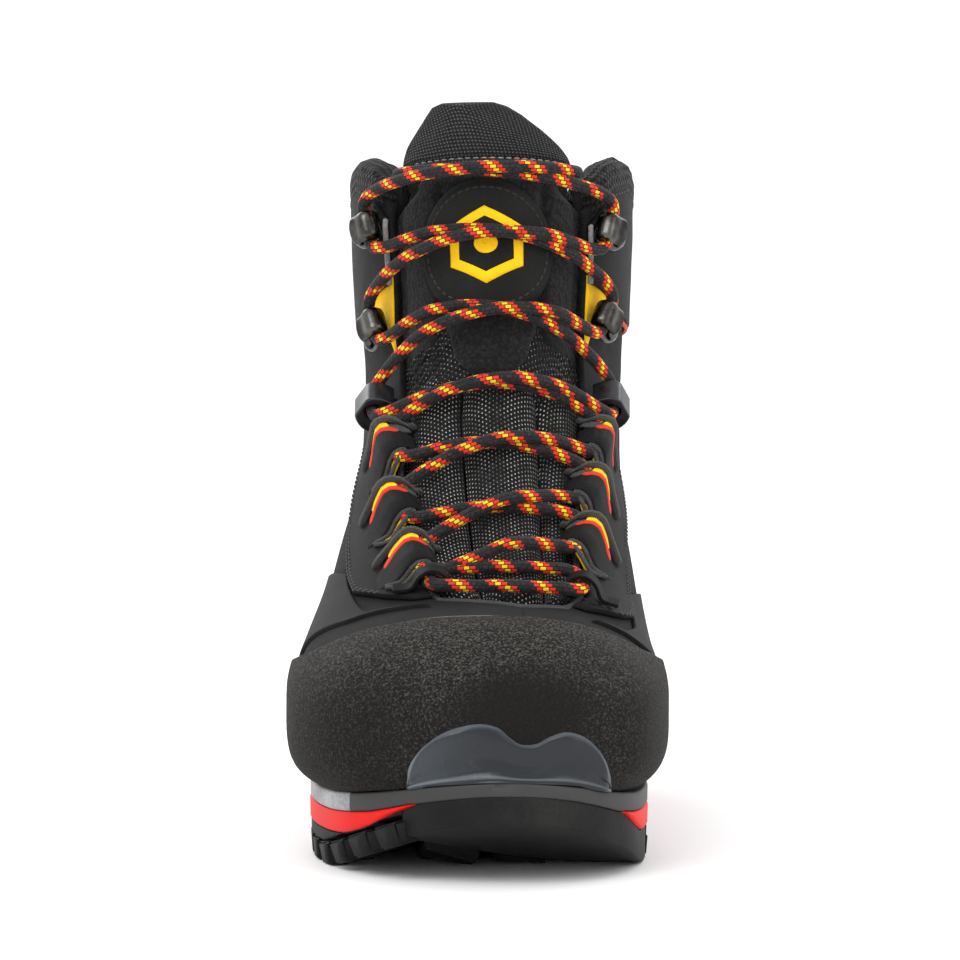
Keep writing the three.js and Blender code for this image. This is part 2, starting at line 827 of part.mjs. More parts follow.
const flapEdges = {
  lateral: [[flapStart, -0.185], [17.3, -0.185], [18.1, -0.16], [18.55, -0.14]],
  medial: [[flapStart, 0.165], [17.3, 0.15], [18.1, 0.085], [18.55, 0.02]],
};

function tongueFlap() {
  const edge = (side) => (u) => along(flapEdges[side], u);
  return tongueSpan([flapStart, flapEnd], 5, edge('lateral'), edge('medial'), tongueCrown);
}

function tongueBadge() {
  const [u, v] = badgePlace;
  const centre = { u, v, ...formAxes(u, v) };
  return sheet({
    rows: 3,
    columns: 20,
    at: (a, b) => {
      const radius = badgeRadius * lerp(0.1, 1, a);
      const angle = 2 * Math.PI * b;
      return near(centre, radius * Math.sin(angle), radius * Math.cos(angle));
    },
    inner: badgeHeight,
    outer: badgeHeight + badgeThickness,
    joined: 4,
    capped: true,
  });
}

// ---- Lace fittings ----

// The place of a lace guide: its point on the form and its axes, with s away from the tongue.
function guideAt(side, level) {
  const away = side === 'medial' ? 1 : -1;
  const u = guideRows[side][level];
  const edge = along(side === 'medial' ? medialEdge : lateralEdge, u);
  const v = edge + (away * guideInsets[level]) / formAxes(u, edge).perV;
  const axes = formAxes(u, v);
  axes.s.multiplyScalar(away);
  return { ...axes, u, v, skew: axes.skew * away, perV: axes.perV * away, point: formPoint(u, v) };
}

// Turns a section drawn as (s, height) into a strip `width` wide along t.
function strip(place, shape, width) {
  const body = new THREE.ExtrudeGeometry(shape, { depth: width, bevelEnabled: false, curveSegments: 6 });
  body.translate(0, 0, -width / 2);
  const axes = new THREE.Matrix4().makeBasis(place.s, place.n, place.t).setPosition(place.point);
  return body.applyMatrix4(axes);
}

// A band of even thickness whose middle follows the given (s, height) points.
function bandShape(middle, thickness) {
  const curve = new THREE.SplineCurve(middle.map(([s, h]) => new THREE.Vector2(s, h)));
  const count = 3 * middle.length;
  const [one, other] = [[], []];
  for (let k = 0; k <= count; k += 1) {
    const p = curve.getPoint(k / count);
    const tangent = curve.getTangent(k / count);
    const side = new THREE.Vector2(-tangent.y, tangent.x).multiplyScalar(thickness / 2);
    one.push(p.clone().add(side));
    other.unshift(p.clone().sub(side));
  }
  return new THREE.Shape([...one, ...other]);
}

const hookFoot = panel.outer + faceGap + hookSheet / 2;
const hookRoom = laceDiameter + 0.8 + hookSheet;
const hookReach = 5.5;
const hookTail = 12;

function laceHook(side, level) {
  const top = hookFoot + hookRoom;
  const back = -hookReach;
  return strip(guideAt(side, level), bandShape([
    [hookTail, hookFoot], [6, hookFoot], [0, hookFoot], [back + 1.2, hookFoot + 0.2],
    [back, hookFoot + hookRoom / 2], [back + 1.2, top - 0.2], [0, top], [3, top + 0.6],
  ], hookSheet), hookWidth);
}

function hookRivet(side, level) {
  const radius = 2.6;
  const rise = 1.6;
  const profile = [[0, 0], [radius, 0], [radius, 0.5], [0.7 * radius, 0.8 * rise], [0, rise]];
  const head = new THREE.LatheGeometry(profile.map(([x, y]) => new THREE.Vector2(x, y)), 12);
  const place = guideAt(side, level);
  const point = place.point.clone()
    .addScaledVector(place.s, hookTail - radius - 1)
    .addScaledVector(place.n, hookFoot + hookSheet / 2 + faceGap);
  return head.applyMatrix4(new THREE.Matrix4().makeBasis(place.s, place.n, place.t).setPosition(point));
}

const loopFoot = panel.outer + faceGap + loopSheet / 2;
const loopRoom = laceDiameter + 1;

function laceLoop(side, level, width) {
  const top = panel.outer + loopRoom + loopSheet;
  return strip(guideAt(side, level), bandShape([
    [12, loopFoot], [6.5, loopFoot], [3.2, top - 1.6], [-0.5, top], [-4, top - 1.6],
    [-5.2, loopFoot + 0.4], [-3.9, 3.1], [-1.6, 2.9],
  ], loopSheet), width);
}

function lockingEyelet(side) {
  const foot = panel.outer + faceGap;
  const shape = new THREE.Shape();
  shape.moveTo(-6.5, foot);
  shape.lineTo(7.5, foot);
  shape.quadraticCurveTo(8.5, foot + 0.6 * eyeletHeight, 4, foot + eyeletHeight);
  shape.lineTo(-3.5, foot + eyeletHeight);
  shape.quadraticCurveTo(-7.5, foot + 0.8 * eyeletHeight, -6.5, foot);
  const bore = new THREE.Path();
  bore.absarc(-0.7, eyeletLace, laceRadius + 1, 0, 2 * Math.PI, true);
  shape.holes.push(bore);
  return strip(guideAt(side, lockLevel), shape, eyeletWidth);
}

const eyeletLace = panel.outer + faceGap + eyeletHeight / 2;

// ---- Lace ----

const laceClear = faceGap + 0.1 + laceRadius;
const passHeights = {
  loop: panel.outer + laceClear,
  eyelet: eyeletLace,
  hook: hookFoot + hookSheet / 2 + laceClear,
};

function passHeight(level) {
  if (level >= firstHook) return passHeights.hook;
  return level === lockLevel ? passHeights.eyelet : passHeights.loop;
}

// Points of the lace going up through a guide, as [u, v, height].
function guidePass(side, level) {
  const g = guideAt(side, level);
  const inner = level >= firstHook ? -1.6 : -0.7;
  const straight = (level ? hookWidth : smallLoopWidth) / 2 + 1.6;
  const stops = [[-5.5, -straight - 3], [inner, -straight], [inner, straight], [-5.5, straight + 3]];
  return stops.map(([s, t]) => [...near(g, s, t), passHeight(level)]);
}

// A strand over the tongue between two passes, over or under the strand that it crosses.
function strand(from, to, over, badge = false) {
  const pad = badge ? badgeHeight + badgeThickness : tongueCrown - innerGap;
  const low = pad + laceRadius + 1.9;
  const high = low + laceDiameter + 0.6;
  return [0.25, 0.5, 0.75].map((share) => {
    const raised = share === 0.5 ? high : (low + high) / 2 + 0.3;
    return [lerp(from[0], to[0], share), lerp(from[1], to[1], share), over ? raised : low];
  });
}

// Half of the lace, from a bottom eyelet up to its last hook, changing sides at each level.
function laceHalf(startSide, overFirst) {
  const sides = startSide === 'medial' ? ['medial', 'lateral'] : ['lateral', 'medial'];
  const points = [];
  for (let level = 0; level <= topHook; level += 1) {
    const pass = guidePass(sides[level % 2], level);
    if (level) {
      const over = overFirst === (level % 2 === 1);
      points.push(...strand(points[points.length - 1], pass[0], over, level >= firstHook));
    }
    points.push(...pass);
  }
  return points;
}

// The last strand crosses to the other side and tucks in beside the tongue.
function tuckedEnd(from, side, over) {
  const sign = side === 'medial' ? 1 : -1;
  const gapV = side === 'medial' ? 0.191 : -0.214;
  const mouth = [16.45, gapV, 4.5];
  return [
    ...strand(from, mouth, over, true),
    mouth,
    [16.5, gapV, -1.5],
    [16.1, gapV - 0.005 * sign, -7.2],
    [15.2, gapV - 0.03 * sign, -8.2],
    [endRow, gapV - 0.04 * sign, -8],
  ];
}

const endRow = 14.2;

function laceRoute() {
  const one = laceHalf('lateral', true);
  const other = laceHalf('medial', false);
  one.push(...tuckedEnd(one[one.length - 1], 'medial', true));
  other.push(...tuckedEnd(other[other.length - 1], 'lateral', false));
  return [...one.reverse(), ...strand(one[one.length - 1], other[0], false), ...other];
}

// A curve whose steps fall on its own points, which lie closer together at the guides.
class RouteCurve extends THREE.CatmullRomCurve3 {
  getPointAt(share, target) {
    return this.getPoint(share, target);
  }

  getTangentAt(share, target) {
    return this.getTangent(share, target);
  }
}

function lace() {
  const points = laceRoute().map((stop) => offsetPoint(...stop));
  const section = new THREE.Shape();
  for (let k = 0; k < laceSides; k += 1) {
    const angle = (2 * Math.PI * k) / laceSides;
    section[k ? 'lineTo' : 'moveTo'](laceRadius * Math.cos(angle), laceRadius * Math.sin(angle));
  }
  section.closePath();
  return new THREE.ExtrudeGeometry(section, {
    steps: points.length - 1,
    extrudePath: new RouteCurve(points, false, 'centripetal'),
    bevelEnabled: false,
  });
}

// The plastic tip on a tucked end of the lace, below its last point.
function aglet(side) {
  const ends = laceRoute();
  if (side === 'lateral') ends.reverse();
  const [last, before] = ends;
  const tip = offsetPoint(...last);
  const direction = tip.clone().sub(offsetPoint(...before)).normalize();
  const radius = laceRadius * 0.9;
  const body = new THREE.CylinderGeometry(radius, radius, agletLength, laceSides);
  const turn = new THREE.Quaternion().setFromUnitVectors(new THREE.Vector3(0, 1, 0), direction);
  const centre = tip.addScaledVector(direction, agletLength / 2 + faceGap);
  return body.applyQuaternion(turn).translate(...centre.toArray());
}

// ---- Materials ----

const finish = (color, roughness, metalness = 0) => () => (
  new THREE.MeshStandardMaterial({ color, roughness, metalness }));
const lugRubber = finish(0x1f1f20, 0.8);
const redFoam = finish(0xd8261c, 0.55);
const greyFoam = finish(0x8f9296, 0.6);
const randRubber = finish(0x2b2b2c, 0.85);
const ledgePlastic = finish(0x4b5259, 0.3);
const shellFabric = finish(0x222224, 0.75);
const panelFabric = finish(0x303033, 0.7);
const tongueKnitFabric = finish(0x1c1c1d, 0.9);
const paddedFabric = finish(0x161617, 0.95);
const liningFabric = finish(0x3a3a3d, 0.95);
const boardFibre = finish(0x8a7f6a, 0.8);
const stiffPlastic = finish(0x50504e, 0.5);
const webbing = finish(0x2d2c28, 0.8);
const yellowFabric = finish(0xf2b705, 0.6);
const badgeRubber = finish(0x2a2a2b, 0.5);
const hookMetal = finish(0x4a4a4c, 0.3, 0.9);
const nylon = finish(0x121316, 0.2);
const laceCord = finish(0x241a18, 0.85);

// ---- The boot ----

const boot = new THREE.Group();

function add(name, geometry, material) {
  const mesh = new THREE.Mesh(outward(geometry), material());
  mesh.name = name;
  boot.add(mesh);
}

add('outsole_forefoot', forefootOutsole(), lugRubber);
add('outsole_heel', heelOutsole(), lugRubber);
add('midsole_red', midsole(rubberTop, (y) => redTop(y) - faceGap), redFoam);
add('midsole_grey', midsole(redTop, soleTop), greyFoam);
add('toe_platform', toePlatform(), lugRubber);
add('toe_insert', toeInsert(), ledgePlastic);
add('heel_insert', heelInsert(), ledgePlastic);
add('rubber_rand', rubberRand(), randRubber);
add('upper_shell', upperShell(), shellFabric);
add('toe_puff', footSheet([0.9, 3.3], [-0.7, 0.7], stiffener, 6, 12), stiffPlastic);
add('heel_counter', footSheet([9.7, 13], [0.66, 1.34], board, 8, 10), stiffPlastic);
add('shank_board', footSheet([2.4, 8.8], [0.88, 1.12], board, 10, 4), boardFibre);
add('foot_lining', footLining(), liningFabric);
add('footbed', footbed(), boardFibre);
for (const [place, from, to, rise, columns] of [
  ['lateral', lateralTuck, (u) => lateralSeam(u) - seamGap, sidePadRise, 4],
  ['center', (u) => lateralSeam(u) + seamGap, (u) => medialSeam(u) - seamGap, centrePadRise, 5],
  ['medial', (u) => medialSeam(u) + seamGap, medialTuck, sidePadRise, 4],
]) {
  add(`tongue_lower_${place}`, tonguePanel(from, to, rise, columns), tongueKnitFabric);
}
add('tongue_flex_knit', tongueKnit(), tongueKnitFabric);
add('tongue_upper', tongueUpper(), paddedFabric);
add('tongue_badge', tongueBadge(), badgeRubber);
add('tongue_top_flap', tongueFlap(), paddedFabric);
add('ankle_gusset', ankleGusset(), shellFabric);
add('cuff_shell', cuffShell(), shellFabric);
add('collar_padding', collarPadding(), paddedFabric);
add('heel_pull_loop', footSheet([14.7, 16.9], [0.965, 1.035], panel, 5, 2), webbing);
for (const [side, edge, sign, from, to] of [
  ['lateral', lateralEdge, -1, 0.73, 1],
  ['medial', medialEdge, 1, 0, 0.27],
]) {
  add(`lace_facing_${side}`, laceFacing(edge, sign), panelFabric);
  add(`cuff_panel_${side}`, cuffPanel(from, to), panelFabric);
  add(`hook_backing_${side}`, hookBacking(edge, sign), yellowFabric);
  add(`lace_eyelet_${side}`, laceLoop(side, 0, smallLoopWidth), webbing);
  for (let level = firstLoop; level < lockLevel; level += 1) {
    add(`lace_loop_${side}_${level}`, laceLoop(side, level, loopWidth), webbing);
  }
  add(`locking_eyelet_${side}`, lockingEyelet(side), nylon);
  for (const [level, place] of [[firstHook, 'lower'], [topHook, 'upper']]) {
    add(`hook_${place}_${side}`, laceHook(side, level), hookMetal);
    add(`hook_rivet_${place}_${side}`, hookRivet(side, level), hookMetal);
  }
  add(`lace_tip_${side}`, aglet(side), nylon);
}
add('lace', lace(), laceCord);

// The origin is the middle of the boot's footprint, on the ground.
const box = new THREE.Box3().setFromObject(boot);
const middle = box.getCenter(new THREE.Vector3());
boot.position.set(-middle.x, -middle.y, -box.min.z);

export default boot;
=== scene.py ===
import math

import bmesh
import bpy
import numpy as np
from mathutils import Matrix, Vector
from mathutils.bvhtree import BVHTree


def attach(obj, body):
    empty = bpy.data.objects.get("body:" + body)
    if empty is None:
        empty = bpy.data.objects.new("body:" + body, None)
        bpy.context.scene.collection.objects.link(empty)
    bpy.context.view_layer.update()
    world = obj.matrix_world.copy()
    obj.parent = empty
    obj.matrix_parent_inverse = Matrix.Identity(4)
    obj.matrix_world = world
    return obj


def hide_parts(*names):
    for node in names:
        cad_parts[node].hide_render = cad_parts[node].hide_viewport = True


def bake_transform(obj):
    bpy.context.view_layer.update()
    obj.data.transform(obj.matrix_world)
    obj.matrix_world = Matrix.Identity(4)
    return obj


# A right mountaineering boot. Lengths are worked out in millimetres and turned into metres
# when a mesh is made. The toe points along -Y and the inner side of the foot faces +X.

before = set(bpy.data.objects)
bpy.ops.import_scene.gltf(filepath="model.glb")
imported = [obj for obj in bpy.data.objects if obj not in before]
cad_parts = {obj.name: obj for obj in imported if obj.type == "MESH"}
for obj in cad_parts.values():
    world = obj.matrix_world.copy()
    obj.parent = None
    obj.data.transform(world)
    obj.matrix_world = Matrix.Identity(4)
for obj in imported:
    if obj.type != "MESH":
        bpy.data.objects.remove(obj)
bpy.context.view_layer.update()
print("frame loaded", len(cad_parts), "nodes")

# Camera, floor and light.
studio = {
    "lens": 203.8,
    "distance": 1750.0,
    "elevation": 3.5,
    "aimHeight": 111.8,
    "sideStep": 0.8,
    "sensorWidth": 36,
    "clipEnd": 50,
    "floorColour": (0.93, 0.93, 0.93, 1),
    "floorRoughness": 0.6,
    "floorSize": 6.0,
    "skyColour": (1, 1, 1, 1),
    "skyStrength": 1.15,
    "lamps": [
        ("key", (-0.7, -1.3, 1.5), (0, 0, 0.1), 1.1, 15),
        ("fill", (1.3, -1.0, 0.7), (0, 0, 0.1), 1.2, 7),
        ("rim", (-0.9, 1.1, 1.0), (0, 0, 0.15), 0.9, 9),
        ("back", (1.0, 1.2, 1.1), (0, 0, 0.15), 0.9, 7),
    ],
}


def addObject(name, data):
    obj = bpy.data.objects.new(name, data)
    bpy.context.scene.collection.objects.link(obj)
    return obj


def setUpStudio():
    tilt = math.radians(studio["elevation"])
    aim = Vector((studio["sideStep"], 0, studio["aimHeight"])) / 1000
    reach = studio["distance"] / 1000
    cameraData = bpy.data.cameras.new("studioCamera")
    cameraData.lens = studio["lens"]
    cameraData.sensor_width = studio["sensorWidth"]
    cameraData.clip_end = studio["clipEnd"]
    camera = addObject("studioCamera", cameraData)
    camera.location = aim + Vector((0, -reach * math.cos(tilt), reach * math.sin(tilt)))
    camera.rotation_euler = (math.pi / 2 - tilt, 0, 0)
    bpy.context.scene.camera = camera

    half = studio["floorSize"] / 2
    floorMesh = bpy.data.meshes.new("studioFloor")
    corners = [(-half, -half, 0), (half, -half, 0), (half, half, 0), (-half, half, 0)]
    floorMesh.from_pydata(corners, [], [(0, 1, 2, 3)])
    floor = addObject("studioFloor", floorMesh)
    paint = bpy.data.materials.new("studioFloor")
    paint.use_nodes = True
    shader = paint.node_tree.nodes["Principled BSDF"]
    shader.inputs["Base Color"].default_value = studio["floorColour"]
    shader.inputs["Roughness"].default_value = studio["floorRoughness"]
    floorMesh.materials.append(paint)

    world = bpy.data.worlds.new("studioWorld")
    world.use_nodes = True
    sky = world.node_tree.nodes["Background"]
    sky.inputs["Color"].default_value = studio["skyColour"]
    sky.inputs["Strength"].default_value = studio["skyStrength"]
    bpy.context.scene.world = world
    bpy.context.scene.view_settings.view_transform = "Standard"

    for name, place, target, size, power in studio["lamps"]:
        lampData = bpy.data.lights.new(name, "AREA")
        lampData.size = size
        lampData.energy = power
        lamp = addObject(name, lampData)
        lamp.location = place
        lamp.rotation_euler = (Vector(target) - Vector(place)).to_track_quat("-Z", "Y").to_euler()


setUpStudio()
print("studio ready")

# The form that the upper is laid on. u runs from the toe (0) to the tongue's top (19), v round
# the form: 0 on the ridge, 1 on the base or the heel line, positive on the inner side. Each
# station holds the ridge's y and height, the base's y and height, the centre's x, both half
# widths, the widest level and two squareness powers.

form = {
    "seat": 25.9,
    "shift": (-0.0186, 0.1, 0.0),
    "stations": [
        (-140.5, 22.1, -140.5, 5.6, 10.5, 15.0, 15.0, 0.50, 2.0, 2.2),
        (-136.5, 30.6, -137.0, 0.6, 9.5, 27.0, 25.0, 0.48, 2.1, 2.8),
        (-128.5, 38.1, -131.0, 0.0, 7.0, 39.5, 36.5, 0.46, 2.2, 3.6),
        (-116.0, 45.1, -120.0, 0.0, 4.2, 47.5, 44.5, 0.46, 2.2, 4.5),
        (-95.0, 49.1, -100.0, 0.0, 1.6, 53.0, 51.0, 0.45, 2.2, 5.2),
        (-72.0, 54.6, -75.0, 0.0, 0.3, 54.5, 54.0, 0.43, 2.2, 5.5),
        (-50.0, 67.6, -45.0, 0.0, 0.6, 53.0, 52.0, 0.40, 2.1, 5.0),
        (-30.0, 84.6, -10.0, 0.8, 1.6, 49.5, 49.0, 0.40, 2.1, 4.0),
        (-14.0, 102.1, 30.0, 1.4, 2.6, 46.5, 46.0, 0.42, 2.1, 3.8),
        (-3.0, 119.6, 74.0, 0.4, 3.4, 42.5, 42.5, 0.46, 2.1, 3.6),
        (2.0, 133.1, 116.0, 0.6, 3.8, 40.0, 40.5, 0.50, 2.1, 3.3),
        (4.5, 143.1, 137.0, 9.6, 4.0, 39.0, 40.0, 0.52, 2.1, 2.8),
        (6.0, 152.1, 143.0, 31.6, 4.1, 39.0, 40.5, 0.54, 2.1, 2.3),
        (7.0, 160.1, 138.0, 59.6, 4.2, 39.5, 41.5, 0.54, 2.1, 2.2),
        (8.0, 167.6, 128.0, 87.6, 4.3, 40.5, 42.0, 0.53, 2.1, 2.2),
        (9.0, 175.1, 121.5, 113.6, 4.3, 41.5, 42.5, 0.52, 2.1, 2.2),
        (10.0, 183.1, 119.0, 137.6, 4.3, 42.0, 43.0, 0.51, 2.1, 2.2),
        (11.0, 191.6, 118.5, 158.6, 4.3, 42.0, 43.0, 0.50, 2.1, 2.2),
        (12.0, 201.1, 118.5, 176.6, 4.3, 42.0, 43.0, 0.50, 2.1, 2.2),
        (12.5, 212.1, 118.5, 194.6, 4.3, 42.0, 43.0, 0.50, 2.1, 2.2),
    ],
    "lateralEdge": [
        (4.4, 0.065), (4.7, -0.06), (5.9, -0.12), (7.1, -0.165), (8.3, -0.19), (10, -0.23),
        (11.7, -0.26), (15, -0.26), (17, -0.23),
    ],
    "medialEdge": [
        (4.4, 0.065), (4.7, 0.15), (5.2, 0.185), (6.1, 0.19), (7.3, 0.205), (8.8, 0.25),
        (11.6, 0.245), (14.7, 0.235), (17, 0.215),
    ],
    "collarLine": [
        (0.2, 204), (0.26, 209), (0.32, 214), (0.4, 215.5), (0.5, 210), (0.65, 203), (0.85, 199),
        (1, 198),
    ],
    "cuffBottom": 149,
    "cuffSlope": 0.15,
    "cuffSlopeStart": 20,
    "searchSteps": 28,
    "searchRow": 6.5,
    "collarSearchRow": 9.0,
}
# How the sole rises towards the heel and the toe.
soleRise = {
    "heel": (-30, 60),
    "toeStart": -92,
    "toeLength": 58,
    "topLevel": 23.5,
    "topToe": 7.5,
    "topToePower": 2.2,
    "topHeel": 9.5,
    "groundToe": 19,
    "groundToePower": 1.35,
}
stationTable = np.array(form["stations"], dtype=float)
lastStation = len(stationTable) - 1
seat = form["seat"]
shift = np.array(form["shift"])


def lerp(a, b, t):
    return a + (b - a) * t


def smoothstep(x, low, high):
    t = np.clip((x - low) / (high - low), 0, 1)
    return t * t * (3 - 2 * t)


def bell(x, centre, width):
    return np.exp(-(((x - centre) / width) ** 2))


def along(table, x):
    return np.interp(x, [row[0] for row in table], [row[1] for row in table])


def heelShare(y):
    return smoothstep(y, *soleRise["heel"])


def toeShare(y):
    ahead = soleRise["toeStart"] - np.asarray(y, dtype=float)
    return np.maximum(0, ahead / soleRise["toeLength"])


def soleTop(y):
    toe = soleRise["topToe"] * toeShare(y) ** soleRise["topToePower"]
    return soleRise["topLevel"] + toe + soleRise["topHeel"] * heelShare(y)


def soleBottom(y):
    return soleRise["groundToe"] * toeShare(y) ** soleRise["groundToePower"]


def stationAt(u):
    t = np.clip(u, 0, lastStation - 1e-9)
    i = np.floor(t).astype(int)
    f = (t - i)[..., None]
    p0, p1, p2, p3 = [stationTable[np.clip(i + k, 0, lastStation)] for k in (-1, 0, 1, 2)]
    return 0.5 * (2 * p1 + (p2 - p0) * f + (2 * p0 - 5 * p1 + 4 * p2 - p3) * f * f
                  + (3 * p1 - p0 - 3 * p2 + p3) * f * f * f)


def formPoint(u, v):
    u, v = np.broadcast_arrays(np.asarray(u, dtype=float), np.asarray(v, dtype=float))
    ry, rz, by, bz, xc, lateral, medial, level, rounded, square = np.moveaxis(stationAt(u), -1, 0)
    s = np.sin(np.pi * v)
    c = np.cos(np.pi * v)
    power = 2 / np.where(c > 0, rounded, square)
    across = np.sign(s) * np.abs(s) ** power
    up = np.sign(c) * np.abs(c) ** power
    half = np.where(s > 0, medial, lateral)
    h = level + up * np.where(up > 0, 1 - level, level)
    baseZ = soleTop(by) + seat - soleRise["topLevel"] + bz
    return np.stack([xc + half * across, lerp(by, ry, h), lerp(baseZ, seat + rz, h)], -1)


def unit(a):
    return a / np.linalg.norm(a, axis=-1, keepdims=True)


# Axes at (u, v): n outwards, t towards the top, s towards larger v, and how far a unit of u or v
# reaches along them.
def formAxes(u, v):
    u, v = np.broadcast_arrays(np.asarray(u, dtype=float), np.asarray(v, dtype=float))
    du, dv = 0.02, 0.004
    low = np.clip(u - du, 0, lastStation - 2 * du)
    alongU = (formPoint(low + 2 * du, v) - formPoint(low, v)) / (2 * du)
    alongV = (formPoint(u, v + dv) - formPoint(u, v - dv)) / (2 * dv)
    n = unit(np.cross(alongV, alongU))
    s = unit(alongV)
    t = np.cross(n, s)
    return {
        "n": n, "s": s, "t": t,
        "perU": (alongU * t).sum(-1), "skew": (alongU * s).sum(-1),
        "perV": np.linalg.norm(alongV, axis=-1),
    }


def lay(u, v, height):
    u, v, height = np.broadcast_arrays(*[np.asarray(x, dtype=float) for x in (u, v, height)])
    return formPoint(u, v) + formAxes(u, v)["n"] * height[..., None] + shift


# The (u, v) that lies across and up millimetres from a place on the form.
def near(u, v, across, up):
    axes = formAxes(u, v)
    rows = up / axes["perU"]
    return u + rows, v + (across - axes["skew"] * rows) / axes["perV"]


sideSign = {"lateral": -1, "medial": 1}


def throatEdge(side, u):
    return along(form["lateralEdge" if side == "lateral" else "medialEdge"], u)


# Further from the tongue than the edge of the throat, on either side.
def beside(side, u, reach):
    return throatEdge(side, u) + sideSign[side] * reach


def roundV(u, b, clear=0.0):
    return lerp(throatEdge("medial", u) + clear, 2 + throatEdge("lateral", u) - clear, b)


def findRow(test, low, high):
    low, high = np.array(low, dtype=float), np.array(high, dtype=float)
    for _ in range(form["searchSteps"]):
        middle = (low + high) / 2
        below = test(middle) < 0
        low = np.where(below, middle, low)
        high = np.where(below, high, middle)
    return (low + high) / 2


def topRow(height, vAt, shape):
    def above(u):
        p = formPoint(u, vAt(u))
        return p[..., 2] - (height - form["cuffSlope"] * (p[..., 1] - form["cuffSlopeStart"]))
    return findRow(above, np.full(shape, form["searchRow"]), np.full(shape, lastStation - 1e-6))


def collarHeight(v, drop):
    w = np.where(v > 1, 2 - v, v)
    return along(form["collarLine"], w) - drop


def collarRow(vAt, drop, shape):
    def above(u):
        return formPoint(u, vAt(u))[..., 2] - collarHeight(vAt(u), drop)
    first, last = form["collarSearchRow"], lastStation - 1e-6
    return findRow(above, np.full(shape, first), np.full(shape, last))


def cheapNoise(x, y, seed):
    rng = np.random.default_rng(seed)
    total = 0
    for k in range(9):
        fx, fy = rng.uniform(-1.6, 1.6, 2) * (1 + 0.35 * k)
        total = total + np.sin(fx * x + fy * y + rng.uniform(0, 6.28)) / (1 + 0.3 * k)
    return total / 4


# A mesh object from points in millimetres; its UV values are lengths in metres.
def makeMesh(name, points, faces, uv=None, material=None, smooth=True):
    mesh = bpy.data.meshes.new(name)
    mesh.from_pydata((np.asarray(points) / 1000).tolist(), [], [list(f) for f in faces])
    if uv is not None:
        layer = mesh.uv_layers.new(name="lay")
        index = np.empty(len(mesh.loops), dtype=int)
        mesh.loops.foreach_get("vertex_index", index)
        layer.data.foreach_set("uv", (np.asarray(uv)[index] / 1000).astype(np.float32).ravel())
    mesh.polygons.foreach_set("use_smooth", [smooth] * len(mesh.polygons))
    if material:
        mesh.materials.append(material)
    mesh.validate()
    return addObject(name, mesh)


# The mesh of a finished bmesh, put in the scene as an object.
def fromBmesh(name, bm):
    mesh = bpy.data.meshes.new(name)
    bm.to_mesh(mesh)
    bm.free()
    return addObject(name, mesh)


def arcLengths(points, axis):
    steps = np.linalg.norm(np.diff(points, axis=axis), axis=-1)
    total = np.cumsum(steps, axis=axis)
    zero = np.zeros_like(np.take(total, [0], axis=axis))
    return np.concatenate([zero, total], axis=axis)


# Shares from 0 to 1 that crowd together near both ends.
def crowdedShares(count, pull=0.75):
    t = np.linspace(0, 1, count + 1)
    return t - pull * np.sin(2 * np.pi * t) / (2 * np.pi)


# The faces of a thick grid: one side, the other side, then the walls round it.
def sheetFaces(rows, cols, closed=False):
    n = (rows + 1) * (cols + 1)
    i, j = np.meshgrid(np.arange(rows), np.arange(cols), indexing="ij")
    k = (i * (cols + 1) + j).ravel()
    right, upper = 1, cols + 1
    faces = np.stack([k, k + right, k + right + upper, k + upper], -1).tolist()
    faces += np.stack([n + k, n + k + upper, n + k + right + upper, n + k + right], -1).tolist()
    for j in range(cols):
        lowEdge, topEdge = j, rows * (cols + 1) + j
        faces.append([lowEdge + 1, lowEdge, n + lowEdge, n + lowEdge + 1])
        faces.append([topEdge, topEdge + 1, n + topEdge + 1, n + topEdge])
    if not closed:
        for i in range(rows):
            first, far = i * (cols + 1), i * (cols + 1) + cols
            faces.append([first, first + upper, n + first + upper, n + first])
            faces.append([far + upper, far, n + far, n + far + upper])
    return faces


# A thick piece from two grids of points.
def gridPiece(name, top, bottom, material, uv=None):
    across, up = arcLengths(top, 1), arcLengths(top, 0)
    flatUv = np.stack([across, up], -1).reshape(-1, 2) if uv is None else uv
    points = np.concatenate([top.reshape(-1, 3), bottom.reshape(-1, 3)])
    faces = sheetFaces(top.shape[0] - 1, top.shape[1] - 1)
    obj = makeMesh(name, points, faces, np.concatenate([flatUv, flatUv]), material)
    weld(obj, 1e-6)
    return obj


# A thick sheet on the form with rolled edges. at(a, b) gives (u, v) and the heights are numbers
# or functions of (u, v, a, b).
def thickSheet(name, rows, cols, at, outer, inner, material, edge=1.0, closed=False, pull=0.75):
    aLine, bLine = crowdedShares(rows, pull), crowdedShares(cols, 0 if closed else pull)
    a, b = np.meshgrid(aLine, bLine, indexing="ij")
    u, v = at(a, b)
    u, v = np.broadcast_arrays(u, v)
    high = outer(u, v, a, b) if callable(outer) else np.full(u.shape, float(outer))
    low = inner(u, v, a, b) if callable(inner) else np.full(u.shape, float(inner))
    base = lay(u, v, high)
    across, up = arcLengths(base, 1), arcLengths(base, 0)
    rim = np.minimum(up, up[-1:] - up)
    if not closed:
        rim = np.minimum(rim, np.minimum(across, across[:, -1:] - across))
    if edge:
        share = np.clip(rim / edge, 0, 1)
        high = low + (high - low) * (0.25 + 0.75 * np.sqrt(1 - (1 - share) ** 2))
    across = across - across[:, cols // 2:cols // 2 + 1]
    points = np.concatenate([lay(u, v, high).reshape(-1, 3), lay(u, v, low).reshape(-1, 3)])
    uv = np.stack([across, up], -1).reshape(-1, 2)
    uv = np.concatenate([uv, uv])
    obj = makeMesh(name, points, sheetFaces(rows, cols, closed), uv, material)
    if closed:
        weld(obj)
    return obj


